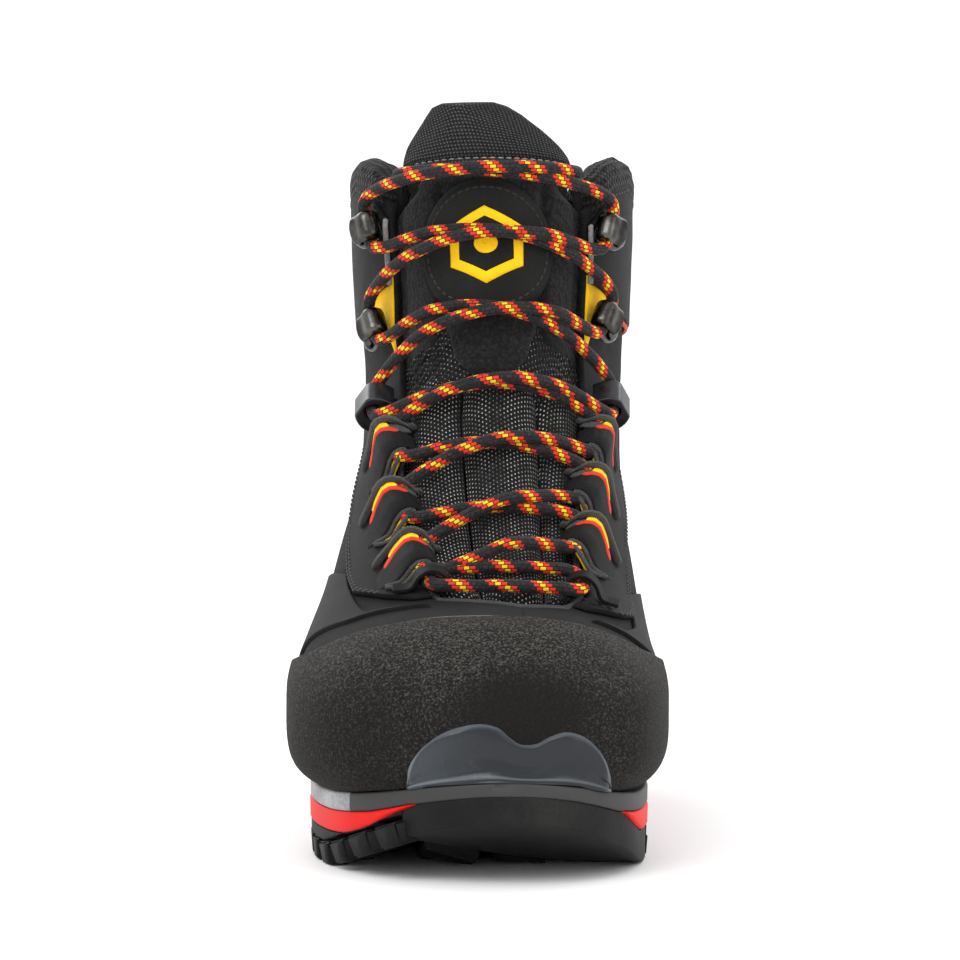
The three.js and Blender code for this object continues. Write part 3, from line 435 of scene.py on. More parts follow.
def weld(obj, distance=0.00002):
    bm = bmesh.new()
    bm.from_mesh(obj.data)
    bmesh.ops.remove_doubles(bm, verts=bm.verts, dist=distance)
    bmesh.ops.recalc_face_normals(bm, faces=bm.faces)
    bm.to_mesh(obj.data)
    bm.free()


def applyModifiers(obj):
    depsgraph = bpy.context.evaluated_depsgraph_get()
    mesh = bpy.data.meshes.new_from_object(obj.evaluated_get(depsgraph))
    obj.modifiers.clear()
    old = obj.data
    obj.data = mesh
    if old.users == 0:
        bpy.data.meshes.remove(old)
    mesh.name = obj.name


# A centripetal curve through points, sampled `steps` times between each pair.
def curveThrough(points, steps, closed=False):
    p = np.asarray(points, dtype=float)
    if closed:
        p = np.concatenate([p[-1:], p, p[:2]])
    else:
        p = np.concatenate([[2 * p[0] - p[1]], p, [2 * p[-1] - p[-2]]])
    out = []
    for k in range(1, len(p) - 2):
        p0, p1, p2, p3 = p[k - 1:k + 3]
        pairs = ((p0, p1), (p1, p2), (p2, p3))
        d01, d12, d23 = [max(np.linalg.norm(b - a) ** 0.5, 1e-4) for a, b in pairs]
        t1 = ((p1 - p0) / d01 - (p2 - p0) / (d01 + d12) + (p2 - p1) / d12) * d12
        t2 = ((p2 - p1) / d12 - (p3 - p1) / (d12 + d23) + (p3 - p2) / d23) * d12
        c2 = -3 * p1 + 3 * p2 - 2 * t1 - t2
        c3 = 2 * p1 - 2 * p2 + t1 + t2
        for f in np.arange(steps) / steps:
            out.append(p1 + t1 * f + c2 * f * f + c3 * f ** 3)
    if not closed:
        out.append(p[-2])
    return np.array(out)


def evenly(line, step):
    line = np.asarray(line)
    length = np.concatenate([[0], np.cumsum(np.linalg.norm(np.diff(line, axis=0), axis=1))])
    count = max(int(length[-1] / step), 2)
    s = np.linspace(0, length[-1], count + 1)
    return np.stack([np.interp(s, length, line[:, k]) for k in range(3)], -1), s


# The faces between rings of points that follow each other.
def tubeFaces(rings, sides):
    faces = []
    for i in range(rings - 1):
        for j in range(sides):
            k = (j + 1) % sides
            faces.append([i * sides + j, i * sides + k, (i + 1) * sides + k, (i + 1) * sides + j])
    return faces


# A round cord or bead along a line, closed at both ends.
def cordMesh(name, line, radius, sides, material, step=1.0, rib=None):
    points, s = evenly(line, step)
    tangent = unit(np.gradient(points, axis=0))
    normal = np.cross(tangent[0], [0.3, 0.5, 0.8])
    normals = []
    for t in tangent:
        normal = normal - t * (normal @ t)
        normal = normal / np.linalg.norm(normal)
        normals.append(normal)
    normals = np.array(normals)
    side = np.cross(tangent, normals)
    angle = np.linspace(0, 2 * np.pi, sides, endpoint=False)
    r = radius if rib is None else radius + rib(s[:, None], angle[None, :])
    r = np.broadcast_to(r, (len(points), sides))
    ring = (points[:, None] + normals[:, None] * (r * np.cos(angle))[..., None]
            + side[:, None] * (r * np.sin(angle))[..., None])
    verts = np.concatenate([ring.reshape(-1, 3), points[:1], points[-1:]])
    faces, loopUv = tubeFaces(len(points), sides), []
    for i in range(len(points) - 1):
        for j in range(sides):
            loopUv += [(j, i), (j + 1, i), (j + 1, i + 1), (j, i + 1)]
    first, last = len(verts) - 2, len(verts) - 1
    for j in range(sides):
        k = (j + 1) % sides
        faces.append([j, first, k])
        faces.append([(len(points) - 1) * sides + k, last, (len(points) - 1) * sides + j])
        loopUv += [(j, 0), (j, 0), (j + 1, 0)]
        loopUv += [(j + 1, len(points) - 1), (j, len(points) - 1), (j, len(points) - 1)]
    obj = makeMesh(name, verts, faces, None, material)
    layer = obj.data.uv_layers.new(name="lay")
    uv = np.array([(j / sides, s[i] / 1000) for j, i in loopUv], dtype=np.float32)
    if len(uv) == len(obj.data.loops):
        layer.data.foreach_set("uv", uv.ravel())
    weld(obj, 1e-7)
    return obj


# Socket holds one output and turns arithmetic into Math nodes.
class Socket:
    def __init__(self, finish, output):
        self.finish, self.output = finish, output

    def math(self, operation, *others, swapped=False):
        terms = [self, *others]
        if swapped:
            terms.reverse()
        return self.finish.node("ShaderNodeMath", {"operation": operation}, *terms)

    def __rsub__(self, other):
        return self.math("SUBTRACT", other, swapped=True)

    def wave(self):
        return self.math("SINE")

    def floor(self):
        return self.math("FLOOR")

    def size(self):
        return self.math("ABSOLUTE")

    def soft(self, low, high):
        return self.finish.node(
            "ShaderNodeMapRange", {"interpolation_type": "SMOOTHSTEP"},
            Value=self, From_Min=low, From_Max=high,
        )


def arithmetic(operation):
    return lambda self, other: self.math(operation, other)


Socket.__add__ = Socket.__radd__ = arithmetic("ADD")
Socket.__mul__ = Socket.__rmul__ = arithmetic("MULTIPLY")
Socket.__sub__, Socket.__truediv__ = arithmetic("SUBTRACT"), arithmetic("DIVIDE")
Socket.__pow__, Socket.__mod__ = arithmetic("POWER"), arithmetic("FLOORED_MODULO")
Socket.__lt__, Socket.__gt__ = arithmetic("LESS_THAN"), arithmetic("GREATER_THAN")


# Finish builds one material on the Principled shader.
class Finish:
    def __init__(self, name, colour, roughness, **fixed):
        self.material = bpy.data.materials.new(name)
        self.material.use_nodes = True
        self.tree = self.material.node_tree
        self.shader = self.tree.nodes["Principled BSDF"]
        self.material.diffuse_color = (*colour, 1)
        self.shader.inputs["Base Color"].default_value = (*colour, 1)
        self.shader.inputs["Roughness"].default_value = roughness
        for key, value in fixed.items():
            self.shader.inputs[key.replace("_", " ")].default_value = value

    def node(self, kind, settings, *values, out=0, **named):
        node = self.tree.nodes.new(kind)
        for key, value in settings.items():
            if key == "stops":
                while len(node.color_ramp.elements) < len(value):
                    node.color_ramp.elements.new(0.5)
                for element, (place, colour) in zip(node.color_ramp.elements, value):
                    element.position = place
                    element.color = (*colour, 1)
            else:
                setattr(node, key, value)
        pairs = list(enumerate(values)) + [(k.replace("_", " "), x) for k, x in named.items()]
        for key, value in pairs:
            self.feed(node.inputs[key], value)
        return Socket(self, node.outputs[out])

    def feed(self, target, value):
        if isinstance(value, Socket):
            self.tree.links.new(value.output, target)
        elif isinstance(value, tuple) and len(value) == 3 and target.type == "RGBA":
            target.default_value = (*value, 1)
        else:
            target.default_value = value

    def place(self):
        return self.node("ShaderNodeTexCoord", {}, out="Object")

    def flat(self):
        split = self.tree.nodes.new("ShaderNodeSeparateXYZ")
        uv = self.node("ShaderNodeUVMap", {"uv_map": "lay"})
        self.tree.links.new(uv.output, split.inputs[0])
        return Socket(self, split.outputs[0]), Socket(self, split.outputs[1])

    def xyz(self):
        split = self.tree.nodes.new("ShaderNodeSeparateXYZ")
        self.tree.links.new(self.place().output, split.inputs[0])
        return [Socket(self, split.outputs[k]) for k in range(3)]

    def noise(self, scale, detail=3.0, rough=0.55):
        return self.node("ShaderNodeTexNoise", {}, Vector=self.place(), Scale=scale,
                         Detail=detail, Roughness=rough)

    def cells(self, scale, feature="F1", out="Distance"):
        return self.node("ShaderNodeTexVoronoi", {"feature": feature}, Vector=self.place(),
                         Scale=scale, out=out)

    def blend(self, share, low, high):
        node = self.tree.nodes.new("ShaderNodeMix")
        node.data_type = "RGBA"
        self.feed(node.inputs[0], share)
        self.feed(node.inputs[6], low)
        self.feed(node.inputs[7], high)
        return Socket(self, node.outputs[2])

    def colour(self, socket):
        self.tree.links.new(socket.output, self.shader.inputs["Base Color"])

    def roughness(self, socket):
        self.tree.links.new(socket.output, self.shader.inputs["Roughness"])

    def relief(self, height, depth, strength=1.0):
        bump = self.node("ShaderNodeBump", {}, Height=height, Distance=depth, Strength=strength)
        self.tree.links.new(bump.output, self.shader.inputs["Normal"])


fullTurn = 2 * math.pi


def wovenBlack(name, colour, light, threads, depth, sheen=0.03, roughness=0.85):
    f = Finish(name, colour, roughness, Sheen_Weight=sheen, Specular_IOR_Level=0.08,
               Sheen_Roughness=0.5)
    s, t = f.flat()
    warp = (s * (fullTurn * threads)).wave()
    weft = (t * (fullTurn * threads)).wave()
    weave = warp * weft
    cloud = f.noise(60, 4)
    fuzz = f.noise(1800, 2)
    f.colour(f.blend((weave * 0.10 + cloud * 0.6 + fuzz * 0.4).soft(0.2, 0.85), colour, light))
    f.relief(weave * 0.2 + fuzz * 0.8, depth)
    f.roughness(cloud * 0.2 + (roughness - 0.1))
    return f.material


def smoothMicrofibre(name, colour, light):
    f = Finish(name, colour, 0.62, Sheen_Weight=0.01, Sheen_Roughness=0.4, Specular_IOR_Level=0.08)
    cloud = f.noise(45, 5)
    grain = f.noise(2200, 3)
    f.colour(f.blend((cloud * 0.7 + grain * 0.3).soft(0.35, 0.75), colour, light))
    f.relief(grain + cloud * 0.8, 0.00025)
    f.roughness(cloud * 0.2 + 0.5)
    return f.material


# Black pebbled rubber for the rand: light speckles of real wear, a pale glue line along the top,
# and painted shade in the dent of the toe.
def pebbledRubber(name):
    f = Finish(name, (0.024, 0.022, 0.020), 0.74, Specular_IOR_Level=0.1)
    x, y, z = f.xyz()
    grain = f.noise(1250, 3, 0.7)
    fine = f.noise(2600, 2)
    cloud = f.noise(26, 4)
    crown = (z + cloud * 0.012).soft(0.048, 0.078)
    # Painted shade: a round patch over the dent in the toe (hollow) where the light speckles fade,
    # so the dent reads darker than the rest.
    dentShadeX, dentShadeZ = (x - 0.013) / 0.020, (z - 0.051) / 0.013
    hollow = (dentShadeX * dentShadeX + dentShadeZ * dentShadeZ + y.soft(-0.11, -0.08) * 4).soft(0.2, 1.7)
    # Light speckles of real wear, more of them higher up. The next line multiplies in the painted
    # shade of the dent.
    wearAndShade = (grain * 0.75 + fine * 0.25).soft(0.42, 0.68) * (crown * 0.45 + cloud * 0.75 + 0.1)
    wearAndShade = wearAndShade * (hollow * 0.75 + 0.25)
    body = f.blend(wearAndShade.soft(0.0, 0.9), (0.0078, 0.0073, 0.0068), (0.078, 0.072, 0.066))
    _, t = f.flat()
    glue = t.soft(0.984, 0.998) * f.noise(60, 5).soft(0.52, 0.72)
    f.colour(f.blend(glue * 0.45, body, (0.34, 0.33, 0.31)))
    f.relief(grain * 0.8 + fine * 0.4, 0.00040)
    f.roughness(0.82 - grain * 0.22 + cloud * 0.08)
    return f.material


def mouldedRubber(name, colour=(0.0072, 0.0072, 0.0074), light=(0.0203, 0.0203, 0.0203)):
    f = Finish(name, colour, 0.6, Specular_IOR_Level=0.11)
    cloud = f.noise(38, 6)
    grain = f.noise(900, 3)
    f.colour(f.blend((cloud * 0.8 + grain * 0.25).soft(0.4, 0.85), colour, light))
    f.relief(grain * 0.5 + cloud, 0.0002)
    f.roughness(cloud * 0.35 + 0.42)
    return f.material


def midsoleFoam(name, colour, light, roughness=0.55):
    f = Finish(name, colour, roughness, Specular_IOR_Level=0.2)
    cloud = f.noise(55, 5)
    grain = f.noise(1300, 3)
    f.colour(f.blend((cloud * 0.7 + grain * 0.3).soft(0.3, 0.8), colour, light))
    f.relief(grain, 0.00012)
    return f.material


# The top layer of the midsole is pale at the ball of the foot and dark rubber in front of it.
def paintedLayer(name):
    f = Finish(name, (0.3, 0.3, 0.31), 0.6)
    x, y, _ = f.xyz()
    cloud = f.noise(70, 6)
    front = (y - x * 0.51 + cloud * 0.004).soft(-0.0965, -0.0955)
    chalk = (cloud * 0.6 + f.noise(900, 2) * 0.4).soft(0.3, 0.75)
    pale = f.blend(chalk, (0.17, 0.172, 0.18), (0.42, 0.425, 0.44))
    f.colour(f.blend(front, (0.0200, 0.0195, 0.0190), pale))
    f.relief(cloud, 0.0003)
    return f.material


# The toe ledge's glossy plastic, with painted highlights on its lateral half, along its top rim and
# ends, and on its raised bead.
def ledgePlastic(name):
    f = Finish(name, (0.012, 0.016, 0.022), 0.3, Coat_Weight=0.08, Coat_Roughness=0.15,
               Specular_IOR_Level=0.35)
    across, up = f.flat()
    cloud = f.noise(38, 4)
    scuff = f.noise(420, 5, 0.7)
    # Painted highlights: the lateral half is lighter, and so are the rolled top rim, the turned
    # ends and the raised bead near the foot. Cloud and scuff are real tone and wear.
    litSide = 1 - across.soft(-0.9, 0.15)
    rim = (up + (across.size() ** 30) * 0.8 + cloud * 0.05).soft(0.93, 1.03)
    bead = up.soft(0.07, 0.11) * (1 - up.soft(0.12, 0.18))
    toneAndHighlight = litSide * 0.30 + cloud * 0.22 + rim * 0.6 + bead * 0.5 + scuff.soft(0.55, 0.75) * 0.10
    f.colour(f.blend(toneAndHighlight.soft(0.14, 1.1), (0.0050, 0.0072, 0.0105), (0.110, 0.128, 0.145)))
    f.roughness(cloud * 0.2 + rim * 0.2 + 0.2)
    f.relief(scuff, 0.00008)
    return f.material


# Dark knit with columns of small pale dots that come and go.
def dottedKnit(name, across, up, dot, strength):
    f = Finish(name, (0.0063, 0.0063, 0.0063), 0.92, Sheen_Weight=0.04, Sheen_Roughness=0.5,
               Specular_IOR_Level=0.2)
    s, t = f.flat()
    column = (s / across).floor()
    shift = (column % 2.0) * 0.5
    inS = (s / across) % 1.0 - 0.5
    inT = (t / up + shift) % 1.0 - 0.5
    reach = (inS * inS * ((across / dot) ** 2) + inT * inT * ((up / (dot * 1.35)) ** 2))
    spot = 1 - reach.soft(0.10, 0.30)
    group = ((column * 0.9).wave() * 0.35 + (column * 0.37).wave() * 0.4 + 0.5).soft(0.0, 0.6)
    patchy = f.noise(160, 3).soft(0.32, 0.6)
    share = spot * (group * 0.6 + 0.4) * (patchy * 0.75 + 0.25)
    rib = (s * (fullTurn / across)).wave()
    base = f.blend(f.noise(700, 3).soft(0.35, 0.7), (0.0036, 0.0036, 0.0036),
                   (0.0158, 0.0158, 0.0162))
    f.colour(f.blend(share * strength, base, (0.60, 0.60, 0.58)))
    f.relief(rib * 0.3 + spot * 0.8 + f.noise(1500, 2) * 0.4, 0.0003)
    return f.material


def brushedFleece(name):
    f = Finish(name, (0.0045, 0.0045, 0.0047), 0.95, Sheen_Weight=0.10, Sheen_Roughness=0.6,
               Specular_IOR_Level=0.15)
    loops = f.cells(820)
    curl = f.noise(520, 5, 0.7)
    share = (curl * 0.8 + (1 - loops) * 0.4).soft(0.45, 1.0)
    f.colour(f.blend(share, (0.0023, 0.0023, 0.0027), (0.0189, 0.0185, 0.0189)))
    f.relief(curl + (1 - loops) * 0.5, 0.0005)
    return f.material


# Open mesh in a diagonal grid, pale where the threads cross.
def diagonalMesh(name, pitch, light=(0.13, 0.13, 0.14)):
    f = Finish(name, (0.0054, 0.0054, 0.0059), 0.8, Sheen_Weight=0.04, Sheen_Roughness=0.5,
               Specular_IOR_Level=0.2)
    s, t = f.flat()
    one = ((s + t) * (fullTurn / pitch)).wave()
    other = ((s - t) * (fullTurn / pitch)).wave()
    cross = one * other
    knots = cross.soft(0.25, 0.95)
    holes = (0 - cross).soft(0.3, 0.9)
    thread = f.noise(900, 3)
    base = f.blend(thread.soft(0.3, 0.7), (0.0054, 0.0054, 0.0059), (0.0180, 0.0180, 0.0189))
    f.colour(f.blend(knots * 0.7, base, light))
    f.relief(cross * 0.5 - holes * 0.5 + thread * 0.2, 0.0005)
    return f.material


def ribbedMesh(name, pitch):
    f = Finish(name, (0.0054, 0.0054, 0.0059), 0.85, Sheen_Weight=0.06, Sheen_Roughness=0.5,
               Specular_IOR_Level=0.2)
    s, t = f.flat()
    rib = (t * (fullTurn / pitch)).wave()
    net = (s * (fullTurn / (pitch * 0.8))).wave() * rib
    fuzz = f.noise(1100, 3)
    share = (rib * 0.25 + net * 0.2 + fuzz * 0.6).soft(0.2, 0.8)
    f.colour(f.blend(share, (0.0032, 0.0032, 0.0036), (0.0270, 0.0270, 0.0279)))
    f.relief(rib * 0.6 + net * 0.4 + fuzz * 0.4, 0.0006)
    return f.material


def brightCloth(name, colour, light):
    f = Finish(name, colour, 0.6, Sheen_Weight=0.03, Sheen_Roughness=0.5, Specular_IOR_Level=0.15)
    fuzz = f.noise(1300, 3)
    cloud = f.noise(90, 3)
    f.colour(f.blend((fuzz * 0.5 + cloud * 0.5).soft(0.3, 0.7), colour, light))
    f.relief(fuzz, 0.0002)
    return f.material


def darkChrome(name):
    f = Finish(name, (0.060, 0.058, 0.054), 0.22, Metallic=1.0)
    cloud = f.noise(160, 4)
    scratch = f.node("ShaderNodeTexNoise", {}, Vector=f.node(
        "ShaderNodeMapping", {}, Vector=f.place(), Scale=(1500, 1500, 120)), Scale=1.0, Detail=3.0)
    f.colour(f.blend(cloud.soft(0.35, 0.7), (0.030, 0.029, 0.027), (0.105, 0.100, 0.092)))
    f.roughness(scratch * 0.2 + 0.16)
    f.relief(scratch, 0.00003)
    return f.material


def blackNylon(name):
    f = Finish(name, (0.0060, 0.0066, 0.0080), 0.3, Coat_Weight=0.12, Coat_Roughness=0.2,
               Specular_IOR_Level=0.35)
    cloud = f.noise(220, 4)
    f.colour(f.blend(cloud.soft(0.3, 0.7), (0.0050, 0.0056, 0.0070), (0.0160, 0.0175, 0.0205)))
    f.roughness(cloud * 0.25 + 0.2)
    f.relief(cloud, 0.00012)
    return f.material


# Black braid with slanting groups of staggered red, yellow and red stitches.
def braidedLace(name, settings):
    f = Finish(name, (0.0054, 0.0049, 0.0054), 0.75, Sheen_Weight=0.05, Sheen_Roughness=0.5,
               Specular_IOR_Level=0.25)
    turn, length = f.flat()
    rows, dash, period = settings["rows"], settings["dash"], settings["period"]
    row = (turn * rows).floor()
    stagger = (row % 2.0) * 0.5
    cell = (length / dash + stagger).floor()
    inRow = (turn * rows) % 1.0
    inDash = (length / dash + stagger) % 1.0
    middleTurn = (row + 0.5) / rows
    middleLength = (cell + 0.5 - stagger) * dash
    group = (middleLength / period - middleTurn) % 1.0
    coloured = group < settings["share"]
    yellow = (group > settings["share"] / 3) * (group < settings["share"] * 2 / 3)
    inside = 1 - (inRow - 0.5).size().soft(0.36, 0.47)
    body = inside * (1 - (inDash - 0.5).size().soft(0.40, 0.49))
    bright = f.blend(yellow, (0.62, 0.028, 0.006), (0.88, 0.50, 0.006))
    dark = f.blend(f.noise(900, 2).soft(0.3, 0.7), (0.0050, 0.0046, 0.0050),
                   (0.0250, 0.0215, 0.0225))
    f.colour(f.blend(coloured * body, f.blend(body, (0.0014, 0.0014, 0.0014), dark), bright))
    f.relief(body + f.noise(2600, 2) * 0.3, 0.00035)
    return f.material


def webbingWeave(name, colour=(0.0063, 0.0063, 0.0059), light=(0.0315, 0.0306, 0.0270), turns=5200):
    f = Finish(name, colour, 0.85, Sheen_Weight=0.2)
    s, t = f.flat()
    weave = ((s + t) * turns).wave() * ((s - t) * turns).wave()
    fuzz = f.noise(1400, 3)
    f.colour(f.blend((weave * 0.3 + fuzz * 0.7).soft(0.25, 0.8), colour, light))
    f.relief(weave + fuzz * 0.5, 0.0003)
    return f.material


looks = {
    "skin": wovenBlack("skinFabric", (0.0054, 0.0054, 0.0056), (0.0203, 0.0203, 0.0207), 900,
                       0.00022),
    "facing": smoothMicrofibre("facingMicrofibre", (0.0056, 0.0056, 0.0058),
                               (0.0140, 0.0140, 0.0146)),
    "panel": smoothMicrofibre("cuffMicrofibre", (0.0081, 0.0081, 0.0083),
                              (0.0189, 0.0189, 0.0193)),
    "rand": pebbledRubber("randRubber"),
    "rubber": mouldedRubber("soleRubber"),
    "platform": mouldedRubber("platformRubber", (0.0077, 0.0077, 0.0077), (0.0225, 0.0221, 0.0212)),
    "red": midsoleFoam("redFoam", (0.62, 0.004, 0.002), (0.74, 0.007, 0.003)),
    "grey": paintedLayer("paintedLayer"),
    "ledge": ledgePlastic("ledgePlastic"),
    "knit": dottedKnit("tongueKnit", 0.00118, 0.0017, 0.00047, 1.0),
    "flexKnit": dottedKnit("gatheredKnit", 0.0013, 0.0019, 0.00044, 0.55),
    "fleece": brushedFleece("brushedFleece"),
    "mesh": diagonalMesh("flapMesh", 0.0024),
    "collar": ribbedMesh("collarMesh", 0.0026),
    "lining": wovenBlack("liningCloth", (0.0090, 0.0090, 0.0099), (0.0270, 0.0270, 0.0288), 700,
                         0.0003, 0.4),
    "yellow": brightCloth("yellowBacking", (0.90, 0.50, 0.002), (0.98, 0.60, 0.004)),
    "orange": brightCloth("orangePiping", (0.50, 0.020, 0.004), (0.62, 0.036, 0.007)),
    "cutEdge": brightCloth("cutEdge", (0.16, 0.16, 0.155), (0.34, 0.34, 0.33)),
    "lip": webbingWeave("fuzzyLip", (0.0072, 0.0070, 0.0063), (0.0383, 0.0360, 0.0306)),
    "webbing": webbingWeave("loopWebbing"),
    "metal": darkChrome("hookMetal"),
    "nylon": blackNylon("blackNylon"),
    "lace": braidedLace("laceBraid", {"rows": 10, "dash": 0.0020, "period": 0.0128, "share": 0.46}),
    "stitch": webbingWeave("blackStitch", (0.0054, 0.0054, 0.0054), (0.0225, 0.0225, 0.0225)),
    "badge": mouldedRubber("badgeRubber", (0.0077, 0.0077, 0.0072), (0.0180, 0.0180, 0.0175)),
    "board": midsoleFoam("boardFibre", (0.16, 0.13, 0.08), (0.25, 0.21, 0.14), 0.8),
    "plastic": midsoleFoam("stiffPlastic", (0.0315, 0.0315, 0.0293), (0.0540, 0.0540, 0.0495)),
}
print("materials ready", len(looks))

def describe(obj, replaces):
    if replaces:
        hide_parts(*replaces)
    return obj


def piece(obj, body, replaces=()):
    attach(obj, body)
    return describe(obj, replaces)


def anklePiece(obj, replaces=()):
    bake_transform(obj)
    return describe(obj, replaces)


def joinAs(name, objects):
    bm = bmesh.new()
    materials = []
    for obj in objects:
        start = len(bm.faces)
        bm.from_mesh(obj.data)
        bm.faces.ensure_lookup_table()
        material = obj.data.materials[0]
        if material not in materials:
            materials.append(material)
        slot = materials.index(material)
        for k in range(start, len(bm.faces)):
            bm.faces[k].material_index = slot
    joined = fromBmesh(name, bm)
    for material in materials:
        joined.data.materials.append(material)
    for obj in objects:
        bpy.data.objects.remove(obj)
    return joined


# A bevelled copy of a CAD node.
def softened(node, name, width, material, segments=3, angle=30):
    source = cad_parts[node]
    bm = bmesh.new()
    bm.from_mesh(source.data)
    bmesh.ops.remove_doubles(bm, verts=bm.verts, dist=1e-6)
    bmesh.ops.dissolve_limit(bm, angle_limit=math.radians(2), verts=bm.verts, edges=bm.edges)
    obj = fromBmesh(name, bm)
    bevel = obj.modifiers.new("bevel", "BEVEL")
    bevel.width = width / 1000
    bevel.segments = segments
    bevel.angle_limit = math.radians(angle)
    bevel.harden_normals = False
    applyModifiers(obj)
    obj.data.materials.clear()
    obj.data.materials.append(material)
    for polygon in obj.data.polygons:
        polygon.use_smooth = True
        polygon.material_index = 0
    weighted = obj.modifiers.new("weighted", "WEIGHTED_NORMAL")
    weighted.keep_sharp = False
    applyModifiers(obj)
    return obj


# The upper skin.
skin = {
    "startRow": 2.0,
    "rows": 120,
    "cols": 190,
    "thickness": 2.0,
    "ribHeight": 2.0,
    "ribPitch": 8.5,
    "ribZone": (128, 136, 172, 180),
    "foldHeight": 0.55,
    "foldZone": (95, 120),
    "padHeight": 1.6,
    "padY": (62, 26),
    "padLean": (118, 20),
    "seamDepth": 0.5,
    "seamLean": (127, 0.9),
    "inner": 0.2,
    "drop": 9.0,
}


def roundSheet(a, b, start, drop):
    edgeLine = b[0]
    top = collarRow(lambda u: roundV(u, edgeLine), drop, edgeLine.shape)
    u = lerp(np.full(edgeLine.shape, start)[None, :], top[None, :], a)
    return u, roundV(u, b)


def skinOuter(u, v, a, b):
    p = formPoint(u, v)
    lean = p[..., 2] + form["cuffSlope"] * (p[..., 1] - form["cuffSlopeStart"])
    back = smoothstep(np.abs(((v % 2) - 1)), 0.42, 0.25)
    start, full, fade, end = skin["ribZone"]
    zone = smoothstep(lean, start, full) * (1 - smoothstep(lean, fade, end))
    ribs = skin["ribHeight"] * np.abs(np.sin(np.pi * lean / skin["ribPitch"])) ** 0.7 * back * zone
    fold = skin["foldHeight"] * cheapNoise(p[..., 1] / 9 + p[..., 0] / 14, lean / 6.5, 4)
    crease = fold * smoothstep(lean, *skin["foldZone"]) * (1 - 0.7 * back)
    padded = skin["padHeight"] * bell(p[..., 1], *skin["padY"]) * bell(lean, *skin["padLean"])
    seam = -skin["seamDepth"] * bell(lean, *skin["seamLean"]) * back
    edgeFree = smoothstep(b, 0.0, 0.05) * (1 - smoothstep(b, 0.95, 1.0))
    return skin["thickness"] + (ribs + crease * 0.6 + padded + seam) * edgeFree


upperSkin = thickSheet(
    "upper_skin", skin["rows"], skin["cols"],
    lambda a, b: roundSheet(a, b, skin["startRow"], skin["drop"]),
    skinOuter, skin["inner"], looks["skin"], edge=0, pull=0.3,
)
weld(upperSkin)
anklePiece(upperSkin, ("upper_shell", "ankle_gusset", "cuff_shell"))
print("upper skin made")

# The rubber rand is drawn with its own height levelled, trimmed flat and set back.

rand = {
    "inner": 3.05,
    "outer": 4.95,
    "rows": 120,
    "cols": 230,
    "lastRow": 13.6,
    "line": [
        (-160, 80), (-112, 80), (-108, 76.5), (-96, 66), (-80, 62), (-50, 57), (0, 54), (60, 58),
        (110, 66), (165, 70),
    ],
    "lineSamples": 400,
    "smoothing": 10,
    "clear": 0.2,
    "dent": {"depth": 2.2, "x": (11, 9), "z": (52, 11)},
    "humps": {"height": 1.1, "x": ((-12, 13), (31, 9)), "z": (50, 10)},
    "toeOnly": -90,
    "workHeight": 40,
}
lineY = np.linspace(rand["line"][0][0], rand["line"][-1][0], rand["lineSamples"])
lineRaw = along(rand["line"], lineY)
kernel = np.exp(-(np.linspace(-2, 2, 2 * rand["smoothing"] + 1) ** 2))
lineSmooth = np.convolve(np.pad(lineRaw, rand["smoothing"], mode="edge"), kernel / kernel.sum(),
                         mode="valid")


def randTop(y):
    return np.interp(y, lineY, lineSmooth)


def randHeight(u, v, base):
    p = formPoint(u, v)
    x, z, atToe = p[..., 0], p[..., 2], p[..., 1] < rand["toeOnly"]
    hollow = bell(x, *rand["dent"]["x"]) * bell(z, *rand["dent"]["z"])
    dent = -rand["dent"]["depth"] * hollow * atToe
    pair = sum(bell(x, *place) for place in rand["humps"]["x"])
    humps = rand["humps"]["height"] * pair * bell(z, *rand["humps"]["z"]) * atToe
    uneven = 0.18 * cheapNoise(p[..., 0] / 16, p[..., 1] / 16 + p[..., 2] / 14, 7)
    return base + dent + humps + uneven


def makeRand():
    rows, cols = rand["rows"], rand["cols"]
    share = np.linspace(0, 1, rows + 1)
    u = rand["lastRow"] * (share - 0.4 * np.sin(2 * np.pi * share) / (2 * np.pi))
    v = 2 * np.arange(cols) / cols
    u, v = np.meshgrid(u[1:], v, indexing="ij")
    p = lay(u, v, randHeight(u, v, rand["outer"]))
    y, z = p[..., 1], p[..., 2]
    low = soleTop(y) + rand["clear"]
    share = (z - low) / (randTop(y) - low)
    tall = rand["workHeight"]
    bm = bmesh.new()
    flat = np.stack([p[..., 0], y, share * tall], -1)
    verts = [[bm.verts.new(q) for q in row] for row in flat]
    for i in range(rows - 1):
        for j in range(cols):
            k = (j + 1) % cols
            bm.faces.new([verts[i][j], verts[i][k], verts[i + 1][k], verts[i + 1][j]])
    tip = bm.verts.new(flat[0].mean(axis=0))
    for j in range(cols):
        bm.faces.new([verts[0][(j + 1) % cols], verts[0][j], tip])
    for level, way in ((tall, 1), (0, -1)):
        bmesh.ops.bisect_plane(bm, geom=list(bm.verts) + list(bm.edges) + list(bm.faces),
                               plane_co=(0, 0, level), plane_no=(0, 0, way), clear_outer=True)
    uvLayer = bm.loops.layers.uv.new("lay")
    for face in bm.faces:
        for loop in face.loops:
            loop[uvLayer].uv = (loop.vert.co.x / 1000, loop.vert.co.z / tall)
    for vert in bm.verts:
        x, y, share = vert.co.x, vert.co.y, vert.co.z / tall
        low = float(soleTop(y)) + rand["clear"]
        vert.co = Vector((x, y, low + share * (float(randTop(y)) - low))) / 1000
    bmesh.ops.remove_doubles(bm, verts=bm.verts, dist=0.0001)
    bmesh.ops.recalc_face_normals(bm, faces=bm.faces)
    obj = fromBmesh("rubber_rand_skin", bm)
    obj.data.polygons.foreach_set("use_smooth", [True] * len(obj.data.polygons))
    obj.data.materials.append(looks["rand"])
    return obj


